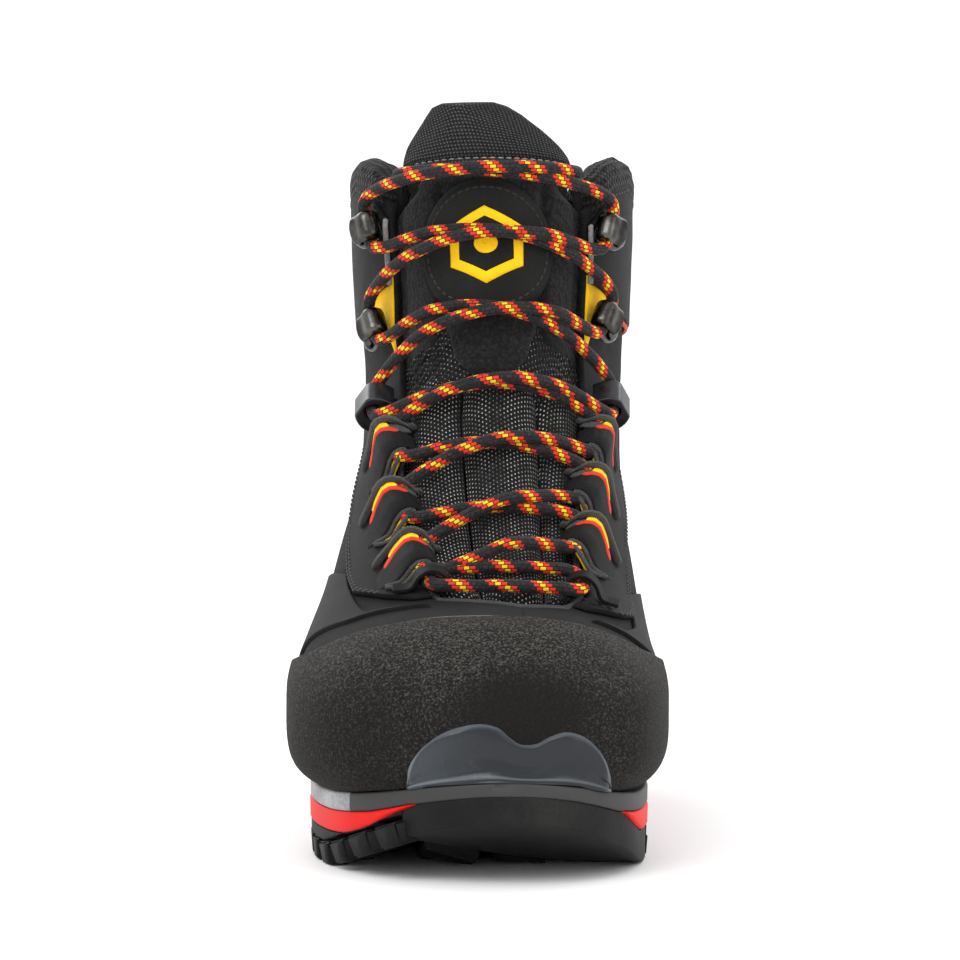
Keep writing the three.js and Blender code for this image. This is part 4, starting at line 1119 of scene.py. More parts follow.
randSkin = makeRand()
randTree = BVHTree.FromObject(randSkin, bpy.context.evaluated_depsgraph_get())
wall = randSkin.modifiers.new("wall", "SOLIDIFY")
wall.thickness = (rand["outer"] - rand["inner"]) / 1000
wall.offset = -1
applyModifiers(randSkin)
piece(randSkin, "foot", ("rubber_rand",))
print("rand made", len(randSkin.data.polygons))


def randFrontY(x, z):
    hit = randTree.ray_cast(Vector((x / 1000, -0.4, z / 1000)), Vector((0, 1, 0)))
    return hit[0].y * 1000 if hit[0] else None


# The sole in layers.
sole = {
    "outline": [
        (9, -150), (30, -143), (45, -122), (51.5, -92), (52, -68), (46, -35), (38, 0), (36, 40),
        (37.5, 80), (37, 110), (28, 138), (3, 150), (-23, 139), (-33, 112), (-36, 80), (-39, 40),
        (-45, 0), (-50.5, -35), (-52, -60), (-48.5, -90), (-37, -120), (-15, -142),
    ],
    "red": 6.8,
    "grey": 5.8,
    "heelRed": 5.5,
    "heelGrey": 2.5,
    "lugDepth": 7.0,
    "platformEnd": {"y": -113.0, "slant": 0.62},
    "redStart": {"y": -132.0, "slant": 0.25},
    "wedge": (-132.0, -104.0),
    "wedgeLean": 8.0,
    "toeTip": -149.6,
    "heelEnd": 149.4,
    "sectionPoints": 22,
    "edgeRound": 0.9,
    "frontEnd": -4,
    "heelStart": 45,
    "platformBack": -66,
    "baseRubber": 4,
}
outlineLoop = curveThrough([(x, y, 0) for x, y in sole["outline"]], 40, closed=True)
heelIndex = int(np.argmax(outlineLoop[:, 1]))
rightSide = outlineLoop[:heelIndex + 1]
leftSide = np.concatenate([outlineLoop[heelIndex:], outlineLoop[:1]])[::-1]


def outlineX(y, left):
    side = leftSide if left else rightSide
    return np.interp(y, side[:, 1], side[:, 0])


def redDepth(y):
    return sole["red"] + sole["heelRed"] * heelShare(y)


def greyDepth(y):
    return sole["grey"] + sole["heelGrey"] * heelShare(y)


def layerShare(y):
    room = soleTop(y) - soleBottom(y) - sole["baseRubber"]
    return np.minimum(1, room / (redDepth(y) + greyDepth(y)))


def greyBottom(y):
    return soleTop(y) - layerShare(y) * greyDepth(y)


# The red layer thins to a point at the toe, further back on the inner side of the foot.
def redBottom(y, side=0):
    start, end = sole["wedge"]
    share = np.clip((y - side * sole["wedgeLean"] - start) / (end - start), 0, 1)
    wedge = share * (1.5 - 0.5 * share * share)
    return greyBottom(y) - layerShare(y) * redDepth(y) * wedge


# A layer of the sole as rings of points round each cross section, with rounded side edges.
def soleLayer(name, bottom, top, yFrom, yTo, material, bulge=0.0, inset=0.0, rows=150):
    count = sole["sectionPoints"]
    share = 0.5 - 0.5 * np.cos(np.pi * np.linspace(0, 1, rows + 1))
    ys = lerp(yFrom, yTo, share)
    rings = []
    for y in ys:
        left, right = float(outlineX(y, True)) + inset, float(outlineX(y, False)) - inset
        ring = []
        for side, x in ((1, right), (-1, left)):
            low, high = float(bottom(y, side)), float(top(y, side))
            tall = max(high - low, 0.05)
            r = min(sole["edgeRound"], tall * 0.45, max((right - left) / 2 - 0.1, 0.05))
            for k in range(count // 2):
                f = k / (count // 2 - 1)
                f = f if side > 0 else 1 - f
                angle = lerp(-math.pi / 2, math.pi / 2, f)
                z = low + r + r * math.sin(angle) if f < 0.5 else high - r + r * math.sin(angle)
                out = r * (math.cos(angle) - 1) + bulge * math.sin(math.pi * (z - low) / tall)
                ring.append((x + side * out, y, z))
        rings.append(ring)
    faces = []
    for i in range(rows):
        for j in range(count):
            k = (j + 1) % count
            faces.append([i * count + j, (i + 1) * count + j, (i + 1) * count + k, i * count + k])
    faces.append(list(range(count)))
    faces.append([rows * count + j for j in reversed(range(count))])
    flat = np.array(rings).reshape(-1, 3) + shift
    obj = makeMesh(name, flat, faces, flat[:, :2], material)
    weld(obj, 0.00001)
    return obj


# Keeps only what lies behind, or in front of, a slanted line across the sole.
def cutAcross(obj, line, keepBack, gap=0.0):
    slant = line["slant"]
    point = Vector((0.010, (line["y"] + gap) / 1000, 0))
    normal = Vector((-math.sin(slant), math.cos(slant), 0))
    bm = bmesh.new()
    bm.from_mesh(obj.data)
    cut = bmesh.ops.bisect_plane(bm, geom=list(bm.verts) + list(bm.edges) + list(bm.faces),
                                 plane_co=point, plane_no=normal,
                                 clear_inner=keepBack, clear_outer=not keepBack)
    edges = [e for e in cut["geom_cut"] if isinstance(e, bmesh.types.BMEdge)]
    bmesh.ops.holes_fill(bm, edges=edges)
    bmesh.ops.recalc_face_normals(bm, faces=bm.faces)
    bm.to_mesh(obj.data)
    bm.free()
    obj.data.polygons.foreach_set("use_smooth", [len(p.vertices) < 6 for p in obj.data.polygons])
    return obj


# Heights of the layers are asked for by y and by side of the foot.
def lugTop(y, _):
    return soleBottom(y) + sole["lugDepth"]


topLayer = soleLayer("midsole_top_layer", lambda y, _: greyBottom(y), lambda y, _: soleTop(y),
                     sole["toeTip"], sole["heelEnd"], looks["grey"], 0.25, rows=170)
piece(topLayer, "foot", ("midsole_grey",))
redLayer = soleLayer("midsole_red_layer", lambda y, side: redBottom(y, side) + 0.15,
                     lambda y, side: greyBottom(y) - 0.1, sole["toeTip"], sole["heelEnd"],
                     looks["red"], 0.45)
cutAcross(redLayer, sole["redStart"], True, 0.6)
piece(redLayer, "foot", ("midsole_red",))

frontRubber = soleLayer("outsole_front_base", lugTop, redBottom, sole["toeTip"], sole["frontEnd"],
                        looks["rubber"], 0.1, 0.3)
cutAcross(frontRubber, sole["platformEnd"], True, 0.2)
piece(frontRubber, "foot", ("outsole_forefoot",))
heelRubber = soleLayer("outsole_heel_base", lugTop, redBottom, sole["heelStart"], sole["heelEnd"],
                       looks["rubber"], 0.1, 0.3, 80)
piece(heelRubber, "foot", ("outsole_heel",))

platform = soleLayer("toe_platform_rubber", lambda y, side: soleBottom(y) + 0.3, redBottom,
                     sole["toeTip"], sole["platformBack"], looks["platform"], -0.3, 0.5)
cutAcross(platform, sole["platformEnd"], False)
piece(platform, "foot", ("toe_platform",))
print("sole layers made")

# Toe and heel ledges.
ledge = {
    "from": -21.0,
    "to": 40.0,
    "cols": 96,
    "rows": 26,
    "lip": 1.2,
    "outline": [
        (-1, 3.0), (-0.985, 6.8), (-0.93, 9.8), (-0.82, 13.2), (-0.65, 16.2), (-0.45, 17.7),
        (-0.28, 17.9), (-0.12, 16.6), (0.0, 13.6), (0.12, 11.5), (0.25, 11.9), (0.4, 14.6),
        (0.56, 16.5), (0.7, 16.1), (0.84, 13.6), (0.94, 9.8), (0.985, 6.0), (1, 3.0),
    ],
    "evenness": 0.55,
    "frontOnly": -70,
    "stand": 1.2,
    "fallbackY": -128.0,
    "shelf": 0.42,
    "bead": (0.12, 0.06),
    "beadDepth": 0.7,
    "rolled": 1.3,
    "sideTurn": 1.5,
    "wall": 1.2,
}
ledgeCurve = curveThrough([(share, height / 10, 0) for share, height in ledge["outline"]], 8)


def ledgeTop(share):
    return np.interp(share, ledgeCurve[:, 0], ledgeCurve[:, 1] * 10)


def makeToeLedge():
    cols, rows = ledge["cols"], ledge["rows"]
    even = np.linspace(-1, 1, cols + 1)
    share = lerp(np.sin(even * math.pi / 2), even, ledge["evenness"])
    xs = lerp(ledge["from"], ledge["to"], (share + 1) / 2)
    front = outlineLoop[outlineLoop[:, 1] < ledge["frontOnly"]]
    front = front[np.argsort(front[:, 0])]
    edgeY = np.interp(xs, front[:, 0], front[:, 1])
    feet = soleTop(edgeY + ledge["stand"]) + 0.05
    points, inside = [], []
    for i in range(rows + 1):
        f = i / rows
        for j in range(cols + 1):
            z = feet[j] + ledgeTop(share[j]) * f
            skinY = randFrontY(xs[j], max(z, feet[j] + 2.5))
            skinY = ledge["fallbackY"] if skinY is None else skinY
            stand = edgeY[j] + ledge["stand"]
            shelf = lerp(stand, skinY - ledge["lip"], min(1, f / ledge["shelf"]) ** 0.55)
            bead = -ledge["beadDepth"] * float(bell(f, *ledge["bead"]))
            rolled = ledge["rolled"] * max(0, (f - 0.9) / 0.1) ** 2
            sides = ledge["sideTurn"] * max(0, (abs(share[j]) - 0.94) / 0.06) ** 2
            y = min(shelf, skinY - 0.35) + bead + rolled + sides
            points.append((xs[j], y, z))
            inside.append((xs[j], max(y + ledge["wall"], skinY + 0.5), z - 0.6 * f))
    marks = [(1000 * share[j], 1000 * i / rows) for i in range(rows + 1) for j in range(cols + 1)]
    grids = [np.array(side).reshape(rows + 1, cols + 1, 3) for side in (points, inside)]
    return gridPiece("toe_ledge", *grids, looks["ledge"], np.array(marks))


piece(makeToeLedge(), "foot", ("toe_insert",))
heelLedge = softened("heel_insert", "heel_ledge", 0.9, looks["ledge"])
piece(heelLedge, "foot", ("heel_insert",))
print("ledges made")

# Lace facings and the places of the lace guides.
guides = {
    "rows": {
        "lateral": [4.95, 5.6, 6.75, 8, 9.15, 12.1, 15.1],
        "medial": [5.15, 6.3, 7.3, 8.4, 9.6, 12.2, 14.9],
    },
    "insets": [0, 0, 0, 0, 5.5, 6, 6.3],
}


def guideAt(side, level):
    away = sideSign[side]
    u = guides["rows"][side][level]
    edge = float(throatEdge(side, u))
    v = edge + away * guides["insets"][level] / float(formAxes(u, edge)["perV"])
    return u, v, away


# Points at (across, up, height) from a guide, with across away from the tongue.
def fromGuide(side, level, across, up, height):
    u0, v0, away = guideAt(side, level)
    u, v = near(u0, v0, np.asarray(across) * away, np.asarray(up))
    return lay(u, v, height)


facing = {
    "width": 0.125,
    "rows": 70,
    "cols": 26,
    "outer": 4.1,
    "inner": 2.45,
    "lowRow": 4.75,
    "topHeight": 136,
    "start": 0.010,
    "growRow": 4.3,
    "growRows": 1.2,
}


# The facing's v at a share b of its width, which grows upwards from the throat's foot.
def facingV(side, u, b):
    spread = np.minimum(1, (u - facing["growRow"]) / facing["growRows"])
    return beside(side, u, facing["start"] + facing["width"] * spread * b)


def facingTop(side, b, shape):
    return topRow(facing["topHeight"], lambda u: beside(side, u, facing["width"] * b), shape)


def makeFacing(side):
    def at(a, b):
        top = facingTop(side, b[0], b[0].shape)
        corner = 0.22 * np.maximum(0, (b[0] - 0.6) / 0.4) ** 2
        u = lerp(facing["lowRow"] + corner[None, :] * 1.2, top[None, :], a)
        return u, facingV(side, u, b)

    def outer(u, v, a, b):
        return facing["outer"] + 0.25 * cheapNoise(u * 2.2, v * 22, 11) * smoothstep(b, 0, 0.2)

    obj = thickSheet(f"lace_facing_{side}_panel", facing["rows"], facing["cols"], at, outer,
                     facing["inner"], looks["facing"], edge=1.6)
    if side == "lateral":
        obj.data.flip_normals()
    weld(obj, 1e-7)
    return obj


for side in sideSign:
    piece(makeFacing(side), "foot", (f"lace_facing_{side}",))

# Scale-shaped lace loops on the facings.
scale = {
    "wall": 1.3,
    "foot": 3.8,
    "ground": 4.2,
    "centre": (2.2, -2.8),
    "stretch": 1.05,
    "arcRadius": 6.4,
    "arcWidth": 2.3,
    "moonWidth": 3.4,
    "lipWidth": 2.4,
    "from": -6.4,
    "to": 13.0,
    "halfLength": 10.6,
    "slit": {"at": -5.6, "drop": 5.2, "from": -4.0, "to": 9, "end": 10.5, "width": 3.0},
    "rollEdge": 1.1,
    "rollDepth": 0.75,
    "rows": 34,
    "cols": 40,
    "crestLine": [
        (-6.6, 3.6), (-6.0, 6.2), (-4.6, 9.0), (-2.6, 10.7), (-0.6, 11.2), (1.6, 10.5), (4.0, 8.6),
        (7.0, 6.4), (10.0, 5.1), (13.5, 4.3),
    ],
}


def scaleHeight(s, t):
    body = along(scale["crestLine"], s)
    fall = 1 - 0.30 * smoothstep(t, -2, -12) - 0.12 * smoothstep(t, 4, 12)
    return scale["foot"] + (body - scale["foot"]) * fall


# Places on a scale, at a radius and an angle round the eye of its bright arc.
def polar(radius, angle):
    s, t = scale["centre"]
    return s + radius * scale["stretch"] * np.sin(angle), t + radius * np.cos(angle)


def slitEdge(s):
    slit = scale["slit"]
    return slit["at"] - slit["drop"] * smoothstep(s, slit["from"], slit["to"])


# A band round the eye between two radii and two angles, rounded and tapered at its ends.
def ringBand(name, side, level, radii, angles, lift, material, puff, blunt=6):
    (inner, outer), (low, high) = radii, angles
    r, angle = np.meshgrid(np.linspace(0, 1, 9), np.linspace(low, high, 44), indexing="ij")
    taper = np.sqrt(np.clip(1 - np.abs(2 * (angle - low) / (high - low) - 1) ** blunt, 0, 1))
    radius = (inner + outer) / 2 + (outer - inner) * (r - 0.5) * (0.15 + 0.85 * taper)
    radius = radius - (outer - inner) * 0.4 * (1 - taper) * (blunt < 6)
    s, t = polar(radius, angle)
    h = scaleHeight(s, t)
    crown = puff * np.sqrt(np.clip(1 - (2 * r - 1) ** 2, 0, 1)) * (0.3 + 0.7 * taper)
    top = fromGuide(side, level, s, t, h + lift + crown)
    bottom = fromGuide(side, level, s, t, h + lift - 1.0)
    return gridPiece(name, top, bottom, material)


def makeScale(side, level):
    names = f"{side}_{level}"
    a, b = np.meshgrid(crowdedShares(scale["rows"], 0.6), crowdedShares(scale["cols"], 0.5),
                       indexing="ij")
    sLine = lerp(scale["from"], scale["to"], b)
    middle, low = scale["centre"]
    bow = np.sqrt(np.clip(1 - ((sLine - middle) / scale["halfLength"]) ** 2, 0.0, 1))
    lip = low + (scale["arcRadius"] + 0.6) * bow
    t = lerp(slitEdge(sLine), lip, a)
    rim = np.minimum(a, 1 - a) * (lip - slitEdge(sLine))
    share = np.clip(rim / scale["rollEdge"], 0, 1)
    rolled = scale["rollDepth"] * (1 - np.sqrt(np.clip(1 - (1 - share) ** 2, 0, 1)))
    h = scaleHeight(sLine, t)
    top = fromGuide(side, level, sLine, t, h - rolled)
    bottom = fromGuide(side, level, sLine, t, h - scale["wall"])
    parts = [gridPiece(f"scale_{names}", top, bottom, looks["facing"])]

    arc = scale["arcRadius"]
    arcEnd = arc + scale["arcWidth"]
    moonEnd = arcEnd + scale["moonWidth"]
    bands = [
        ("arc", (arc, arcEnd), (-0.95, 1.15), -0.1, "orange", 0.35, 6),
        ("moon", (arcEnd - 0.3, moonEnd + 0.4), (-0.50, 0.56), -0.35, "yellow", 0.1, 1.7),
        ("hollow", (arc - 0.4, moonEnd + 0.3), (-0.85, 1.0), -1.6, "lip", 0.05, 6),
        ("lip", (moonEnd - 0.5, moonEnd + scale["lipWidth"]), (-0.85, 0.95), 0.2, "lip", 1.3, 6),
    ]
    for kind, radii, angles, lift, look, puff, blunt in bands:
        band = f"{kind}_{names}"
        parts.append(ringBand(band, side, level, radii, angles, lift, looks[look], puff, blunt))

    q = np.linspace(0, 1, 26)
    s = lerp(scale["slit"]["from"], scale["slit"]["end"], q)
    edge = slitEdge(s)
    width = scale["slit"]["width"] * np.sin(np.pi * q) ** 0.7
    w = np.linspace(0, 1, 5)[:, None]
    sGrid = np.broadcast_to(s, (5, 26))
    tGrid = edge - 0.3 - width * w
    under = np.maximum(scaleHeight(sGrid, tGrid) - 2.6, scale["ground"] + 0.2)
    slitTop = fromGuide(side, level, sGrid, tGrid, under)
    slitLow = fromGuide(side, level, sGrid, tGrid, under - 0.8)
    parts.append(gridPiece(f"slit_{names}", slitTop, slitLow, looks["yellow"]))
    rimS = np.concatenate([s, s[::-1]])
    rimT = np.concatenate([edge - 0.1, (edge - width - 0.5)[::-1]])
    rimH = np.maximum(scaleHeight(rimS, rimT) - 1.6, scale["ground"] + 0.6)
    rimLine = curveThrough(fromGuide(side, level, rimS, rimT, rimH), 2)
    parts.append(cordMesh(f"slitEdge_{names}", rimLine, 0.75, 8, looks["lip"], 0.8))
    return joinAs(f"lace_scale_{names}", parts)


for side in sideSign:
    for level in (1, 2, 3):
        piece(makeScale(side, level), "foot", (f"lace_loop_{side}_{level}",))
    eyelet = softened(f"lace_eyelet_{side}", f"bottom_eyelet_{side}", 0.35, looks["facing"])
    piece(eyelet, "foot", (f"lace_eyelet_{side}",))
    lock = softened(f"locking_eyelet_{side}", f"locking_eyelet_{side}_moulded", 0.7,
                    looks["nylon"], 4, 40)
    piece(lock, "foot", (f"locking_eyelet_{side}",))
print("facings and loops made")

# Hooks bent from sheet.
hook = {
    "width": 9.0,
    "sheet": 1.2,
    "flare": 1.5,
    "foot": 5.2,
    "room": 6.0,
    "reach": 5.5,
    "tail": 12.0,
}


def makeHook(side, level, name):
    foot, top = hook["foot"], hook["foot"] + hook["room"]
    back = -hook["reach"]
    middle = [
        (hook["tail"], foot, 0), (6, foot, 0), (0, foot, 0), (back + 1.2, foot + 0.2, 0),
        (back, foot + hook["room"] / 2, 0), (back + 1.2, top - 0.2, 0), (0, top, 0),
        (3, top + 0.6, 0),
    ]
    line = curveThrough(middle, 9)
    tangent = unit(np.gradient(line, axis=0))
    out = np.stack([tangent[:, 1], -tangent[:, 0]], -1)
    w = np.linspace(-1, 1, 27)
    narrow = 1 - 0.35 * smoothstep(line[:, 0], 5.5, 12)[:, None]
    tail = (line[:, 0] - (hook["tail"] - 4)) / 4
    endRound = np.where(tail > 0, np.sqrt(np.clip(1 - tail ** 2, 0.02, 1)), 1)
    share = np.arange(len(line)) / (len(line) - 1)
    tip = np.where(share > 0.93, np.sqrt(np.clip(1 - ((share - 0.93) / 0.075) ** 2, 0.05, 1)), 1)
    halfWidth = hook["width"] / 2 * (endRound * tip)[:, None] * narrow
    bendShare = bell(share, 0.62, 0.22)[:, None]
    flare = hook["flare"] * np.abs(w)[None, :] ** 5 * bendShare
    t = w[None, :] * (halfWidth + 0.5 * bendShare)
    u0, v0, away = guideAt(side, level)
    axes = formAxes(u0, v0)
    origin = lay(u0, v0, 0.0)
    layers = []
    for thickness in (hook["sheet"] / 2, -hook["sheet"] / 2):
        edgeSoft = 1 - 0.75 * np.abs(w)[None, :] ** 12
        offset = thickness * edgeSoft + flare
        s = line[:, 0:1] + out[:, 0:1] * offset
        h = line[:, 1:2] + out[:, 1:2] * offset
        layers.append(origin + axes["s"] * (s * away)[..., None] + axes["n"] * h[..., None]
                      + axes["t"] * t[..., None])
    return gridPiece(name, layers[0], layers[1], looks["metal"])


for side in sideSign:
    for level, place in ((5, "lower"), (6, "upper")):
        node = f"hook_{place}_{side}"
        piece(makeHook(side, level, f"{node}_bent"), "cuff", (node,))
        rivetNode = f"hook_rivet_{place}_{side}"
        rivet = softened(rivetNode, f"{rivetNode}_domed", 0.3, looks["metal"], 2)
        piece(rivet, "cuff", (rivetNode,))
print("hooks made")

# The tongue.
tongue = {
    "pad": 4.0,
    "edge": 1.1,
    "gap": 0.014,
    "tuck": 0.035,
    "lowerRows": (4.75, 9.15),
    "lowerDip": (4.75, 5.0),
    "seamGap": 0.002,
    "knitRows": (8.7, 10.6),
    "upperRows": (9.75, 16.42),
    "upperSlim": 0.09,
    "channels": ((-0.112, 0.013), (0.118, 0.013)),
    "channelDepth": 1.7,
    "flapRows": (16.38, 18.53),
    "flapSeamRow": 16.75,
    "flapBase": 0.2,
    "flapCrown": 1.5,
    "foldRow": 16.5,
    "seamsLateral": [(4.7, 0.01), (5.7, -0.005), (8.3, -0.055)],
    "seamsMedial": [(4.7, 0.11), (5.9, 0.12), (8.3, 0.115)],
    "flapLateral": [
        (16.35, -0.262), (16.7, -0.258), (17.0, -0.246), (17.4, -0.222), (17.8, -0.196),
        (18.2, -0.168), (18.42, -0.150), (18.53, -0.118),
    ],
    "flapMedial": [
        (16.35, 0.232), (16.7, 0.226), (17.0, 0.206), (17.4, 0.166), (17.8, 0.124), (18.2, 0.076),
        (18.42, 0.038), (18.53, 0.004),
    ],
}


def tuck(side, u):
    return beside(side, u, tongue["tuck"] * smoothstep(u, 4.4, 5.2))


def crown(u, v, low, high, rise, power=4):
    low = np.maximum(low, throatEdge("lateral", u) + tongue["gap"])
    high = np.minimum(high, throatEdge("medial", u) - tongue["gap"])
    share = np.clip((v - low) / (high - low), 0, 1)
    return -tongue["edge"] + (rise + tongue["edge"]) * (1 - np.abs(2 * share - 1) ** power)


def lowerPanel(name, left, right, rise, cols):
    def at(a, b):
        u = lerp(*tongue["lowerRows"], a)
        return u, lerp(left(u), right(u), b)

    def outer(u, v, a, b):
        wavy = 0.35 * cheapNoise(u * 3.1, v * 20, 21)
        dip = tongue["pad"] * (1 - smoothstep(u, *tongue["lowerDip"]))
        return crown(u, v, left(u), right(u), rise, 3) + wavy - dip

    return thickSheet(name, 90, cols, at, outer, -tongue["pad"] - 1, looks["knit"], edge=0,
                      pull=0.4)


def lateralSeam(u):
    return along(tongue["seamsLateral"], u)


def medialSeam(u):
    return along(tongue["seamsMedial"], u)


seamGap = tongue["seamGap"]
lowerParts = [
    ("tongue_lower_lateral",
     lambda u: tuck("lateral", u), lambda u: lateralSeam(u) - seamGap, 1.9, 26),
    ("tongue_lower_center",
     lambda u: lateralSeam(u) + seamGap, lambda u: medialSeam(u) - seamGap, 2.9, 30),
    ("tongue_lower_medial",
     lambda u: medialSeam(u) + seamGap, lambda u: tuck("medial", u), 1.9, 26),
]
for node, left, right, rise, cols in lowerParts:
    anklePiece(lowerPanel(f"{node}_pad", left, right, rise, cols), (node,))


def gatheredOuter(u, v, a, b):
    left, right = throatEdge("lateral", u), throatEdge("medial", u)
    share = np.clip((v - left) / (right - left), 0, 1)
    sides = smoothstep(np.abs(2 * share - 1), 0.3, 0.7)
    folds = 0.9 * np.abs(np.sin(u * 11 + 2.2 * np.sin(v * 25) + 3 * share)) * sides
    small = 0.45 * cheapNoise(u * 7, v * 60, 31)
    ends = smoothstep(a, 0, 0.12) * (1 - smoothstep(a, 0.85, 1))
    return crown(u, v, left, right, 1.2) + (folds + small) * ends - 1.0 * (1 - ends)


def gatheredAt(a, b):
    u = lerp(*tongue["knitRows"], a)
    return u, lerp(tuck("lateral", u), tuck("medial", u), b)


gathered = thickSheet(
    "tongue_gathered_knit", 90, 90, gatheredAt, gatheredOuter, -3.0, looks["flexKnit"],
    edge=0, pull=0.3,
)
anklePiece(gathered, ("tongue_flex_knit",))


def upperEdges(u):
    slim = tongue["upperSlim"] * smoothstep(u, 14.9, 15.9)
    return tuck("lateral", u) + slim, tuck("medial", u) - slim


def upperOuter(u, v, a, b):
    left, right = upperEdges(u)
    pad = crown(u, v, left, right, 2.2, 5)
    lines = sum(bell(v, *line) for line in tongue["channels"])
    channel = tongue["channelDepth"] * lines * (1 - smoothstep(u, 15.2, 16.2))
    fuzz = 0.16 * cheapNoise(u * 9, v * 90, 41)
    fold = 1.5 * smoothstep(u, 15.9, 16.45)
    lowEnd = 1.6 * (1 - smoothstep(u, 9.7, 10.3))
    return pad - channel + fuzz - fold - lowEnd


def upperAt(a, b):
    u = lerp(*tongue["upperRows"], a)
    return u, lerp(*upperEdges(u), b)


upperPad = thickSheet(
    "tongue_upper_pad", 120, 90, upperAt, upperOuter, -tongue["pad"] - 0.8, looks["fleece"],
    edge=0.9, pull=0.3,
)
piece(upperPad, "cuff", ("tongue_upper",))


middleTab = {"rows": (8.95, 13.2), "middle": 0.004, "halfWidth": 0.098, "outer": 3.4, "inner": 1.2}


# The raised middle tab, rounded at its lower end, that laps over the gathered knit.
def tabAt(a, b):
    half = lerp(-1, 1, b)
    low, high = middleTab["rows"]
    u = lerp(low + 0.5 * np.abs(half) ** 3.0, high, a)
    narrow = np.minimum(1, 0.72 + 0.28 * smoothstep(u, 8.9, 10.4))
    return u, middleTab["middle"] + middleTab["halfWidth"] * half * narrow


def tabOuter(u, v, a, b):
    return middleTab["outer"] - 0.9 * np.abs(2 * b - 1) ** 4 + 0.12 * cheapNoise(u * 8, v * 80, 42)


tab = thickSheet("tongue_middle_tab", 60, 40, tabAt, tabOuter, middleTab["inner"], looks["fleece"],
                 edge=1.8)
anklePiece(tab, ())


def flapOuter(u, v, a, b):
    crownHeight = tongue["flapCrown"] * (1 - np.abs(2 * b - 1) ** 3)
    seamDip = 0.9 * bell(u, tongue["flapSeamRow"], 0.07)
    waist = 1.4 * (1 - smoothstep(u, 16.3, 16.7))
    wings = 1.6 * smoothstep(np.abs(2 * b - 1), 0.72, 1.0) * (1 - smoothstep(u, 16.8, 17.4))
    fuzz = 0.12 * cheapNoise(u * 6, v * 40, 43)
    return tongue["flapBase"] + crownHeight - seamDip - waist - wings + fuzz


def flapAt(a, b):
    u = lerp(*tongue["flapRows"], a)
    return u, lerp(along(tongue["flapLateral"], u), along(tongue["flapMedial"], u), b)


flap = thickSheet("tongue_top_flap_pad", 60, 70, flapAt, flapOuter, -3.6, looks["mesh"], edge=2.2)
foldPoint = lay(tongue["foldRow"], 0.0, 0.0) / 1000
foldEnds = [tuple(foldPoint + np.array([0, 0, z])) for z in (-0.003, 0.006)]
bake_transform(flap)
describe(flap, ("tongue_top_flap",))

# The thin bellows cloth behind the tongue, which joins it to both sides of the collar.
bellows = {"rows": (14.2, 16.5), "edges": (-0.268, 0.24), "outer": -6.2, "inner": -7.0}
bellowsCloth = thickSheet(
    "tongue_bellows_cloth", 30, 70,
    lambda a, b: (lerp(*bellows["rows"], a), lerp(*bellows["edges"], b)),
    bellows["outer"], bellows["inner"], looks["fleece"], edge=0.4,
)
piece(bellowsCloth, "cuff")
print("tongue made")

# The badge.
badge = {
    "u": 13.2,
    "v": -0.010,
    "radius": 21.0,
    "height": 3.0,
    "thickness": 1.5,
    "layers": [
        ("badgeHex", 12.5, 1.2, 1.95, "yellow", 10, 72, True),
        ("badgeCore", 9.3, 1.6, 2.25, "badge", 10, 72, True),
        ("badgeDot", 3.4, 1.9, 2.6, "yellow", 8, 48, False),
    ],
}


def discSheet(name, radius, low, high, material, rings=16, sectors=72, shape=None, edge=0.8):
    u0, v0 = badge["u"], badge["v"]
    r, angle = np.meshgrid(np.linspace(0.02, 1, rings), np.linspace(0, 2 * np.pi, sectors + 1),
                           indexing="ij")
    reach = radius * r * (shape(angle) if shape else 1)
    s, t = reach * np.sin(angle), reach * np.cos(angle)
    u, v = near(u0, v0, s, t)
    share = np.clip((r * radius - radius + edge) / edge, 0, 1)
    rolled = (high - low) * 0.7 * (1 - np.sqrt(np.clip(1 - share ** 2, 0, 1)))
    top = lay(u, v, high - rolled)
    bottom = lay(u, v, np.full(u.shape, low))
    marks = np.stack([-s, t], -1).reshape(-1, 2)
    return gridPiece(name, top[:, ::-1], bottom[:, ::-1], material, marks)


def hexagon(angle):
    wedge = np.pi / 3
    return math.cos(wedge / 2) / np.cos((angle % wedge) - wedge / 2)


base = badge["height"]
badgeTop = base + badge["thickness"]
discs = [discSheet("badgeDisc", badge["radius"], base - 0.4, badgeTop, looks["badge"])]
for name, radius, low, high, look, rings, sectors, sixSided in badge["layers"]:
    shape = hexagon if sixSided else None
    discs.append(discSheet(name, radius, base + low, base + high, looks[look], rings, sectors,
                           shape, 0.4))
piece(joinAs("tongue_badge_disc", discs), "cuff", ("tongue_badge",))
print("badge made")

# Cuff panels and the bright backing under the hooks.
cuffPanel = {
    "share": 0.275,
    "clear": 0.006,
    "cornerDrop": 5,
    "cornerWidth": 0.12,
    "bottom": 166.0,
    "raised": 9.0,
    "drop": 9.0,
    "outer": 4.3,
    "inner": 2.7,
    "rows": 70,
    "cols": 60,
}


# The share of the way round the cuff at a share b of the panel, counted from the throat.
def cuffShare(side, b):
    reach = cuffPanel["share"]
    return lerp(0.0, reach, b) if side == "medial" else lerp(1.0, 1 - reach, b)


def cuffV(u, share):
    return roundV(u, share, cuffPanel["clear"])


def cuffLow(b):
    return cuffPanel["bottom"] + cuffPanel["raised"] * (1 - smoothstep(b, 0.0, 0.5))


def cuffDrop(b):
    return cuffPanel["drop"] + cuffPanel["cornerDrop"] * bell(b, 0, cuffPanel["cornerWidth"])


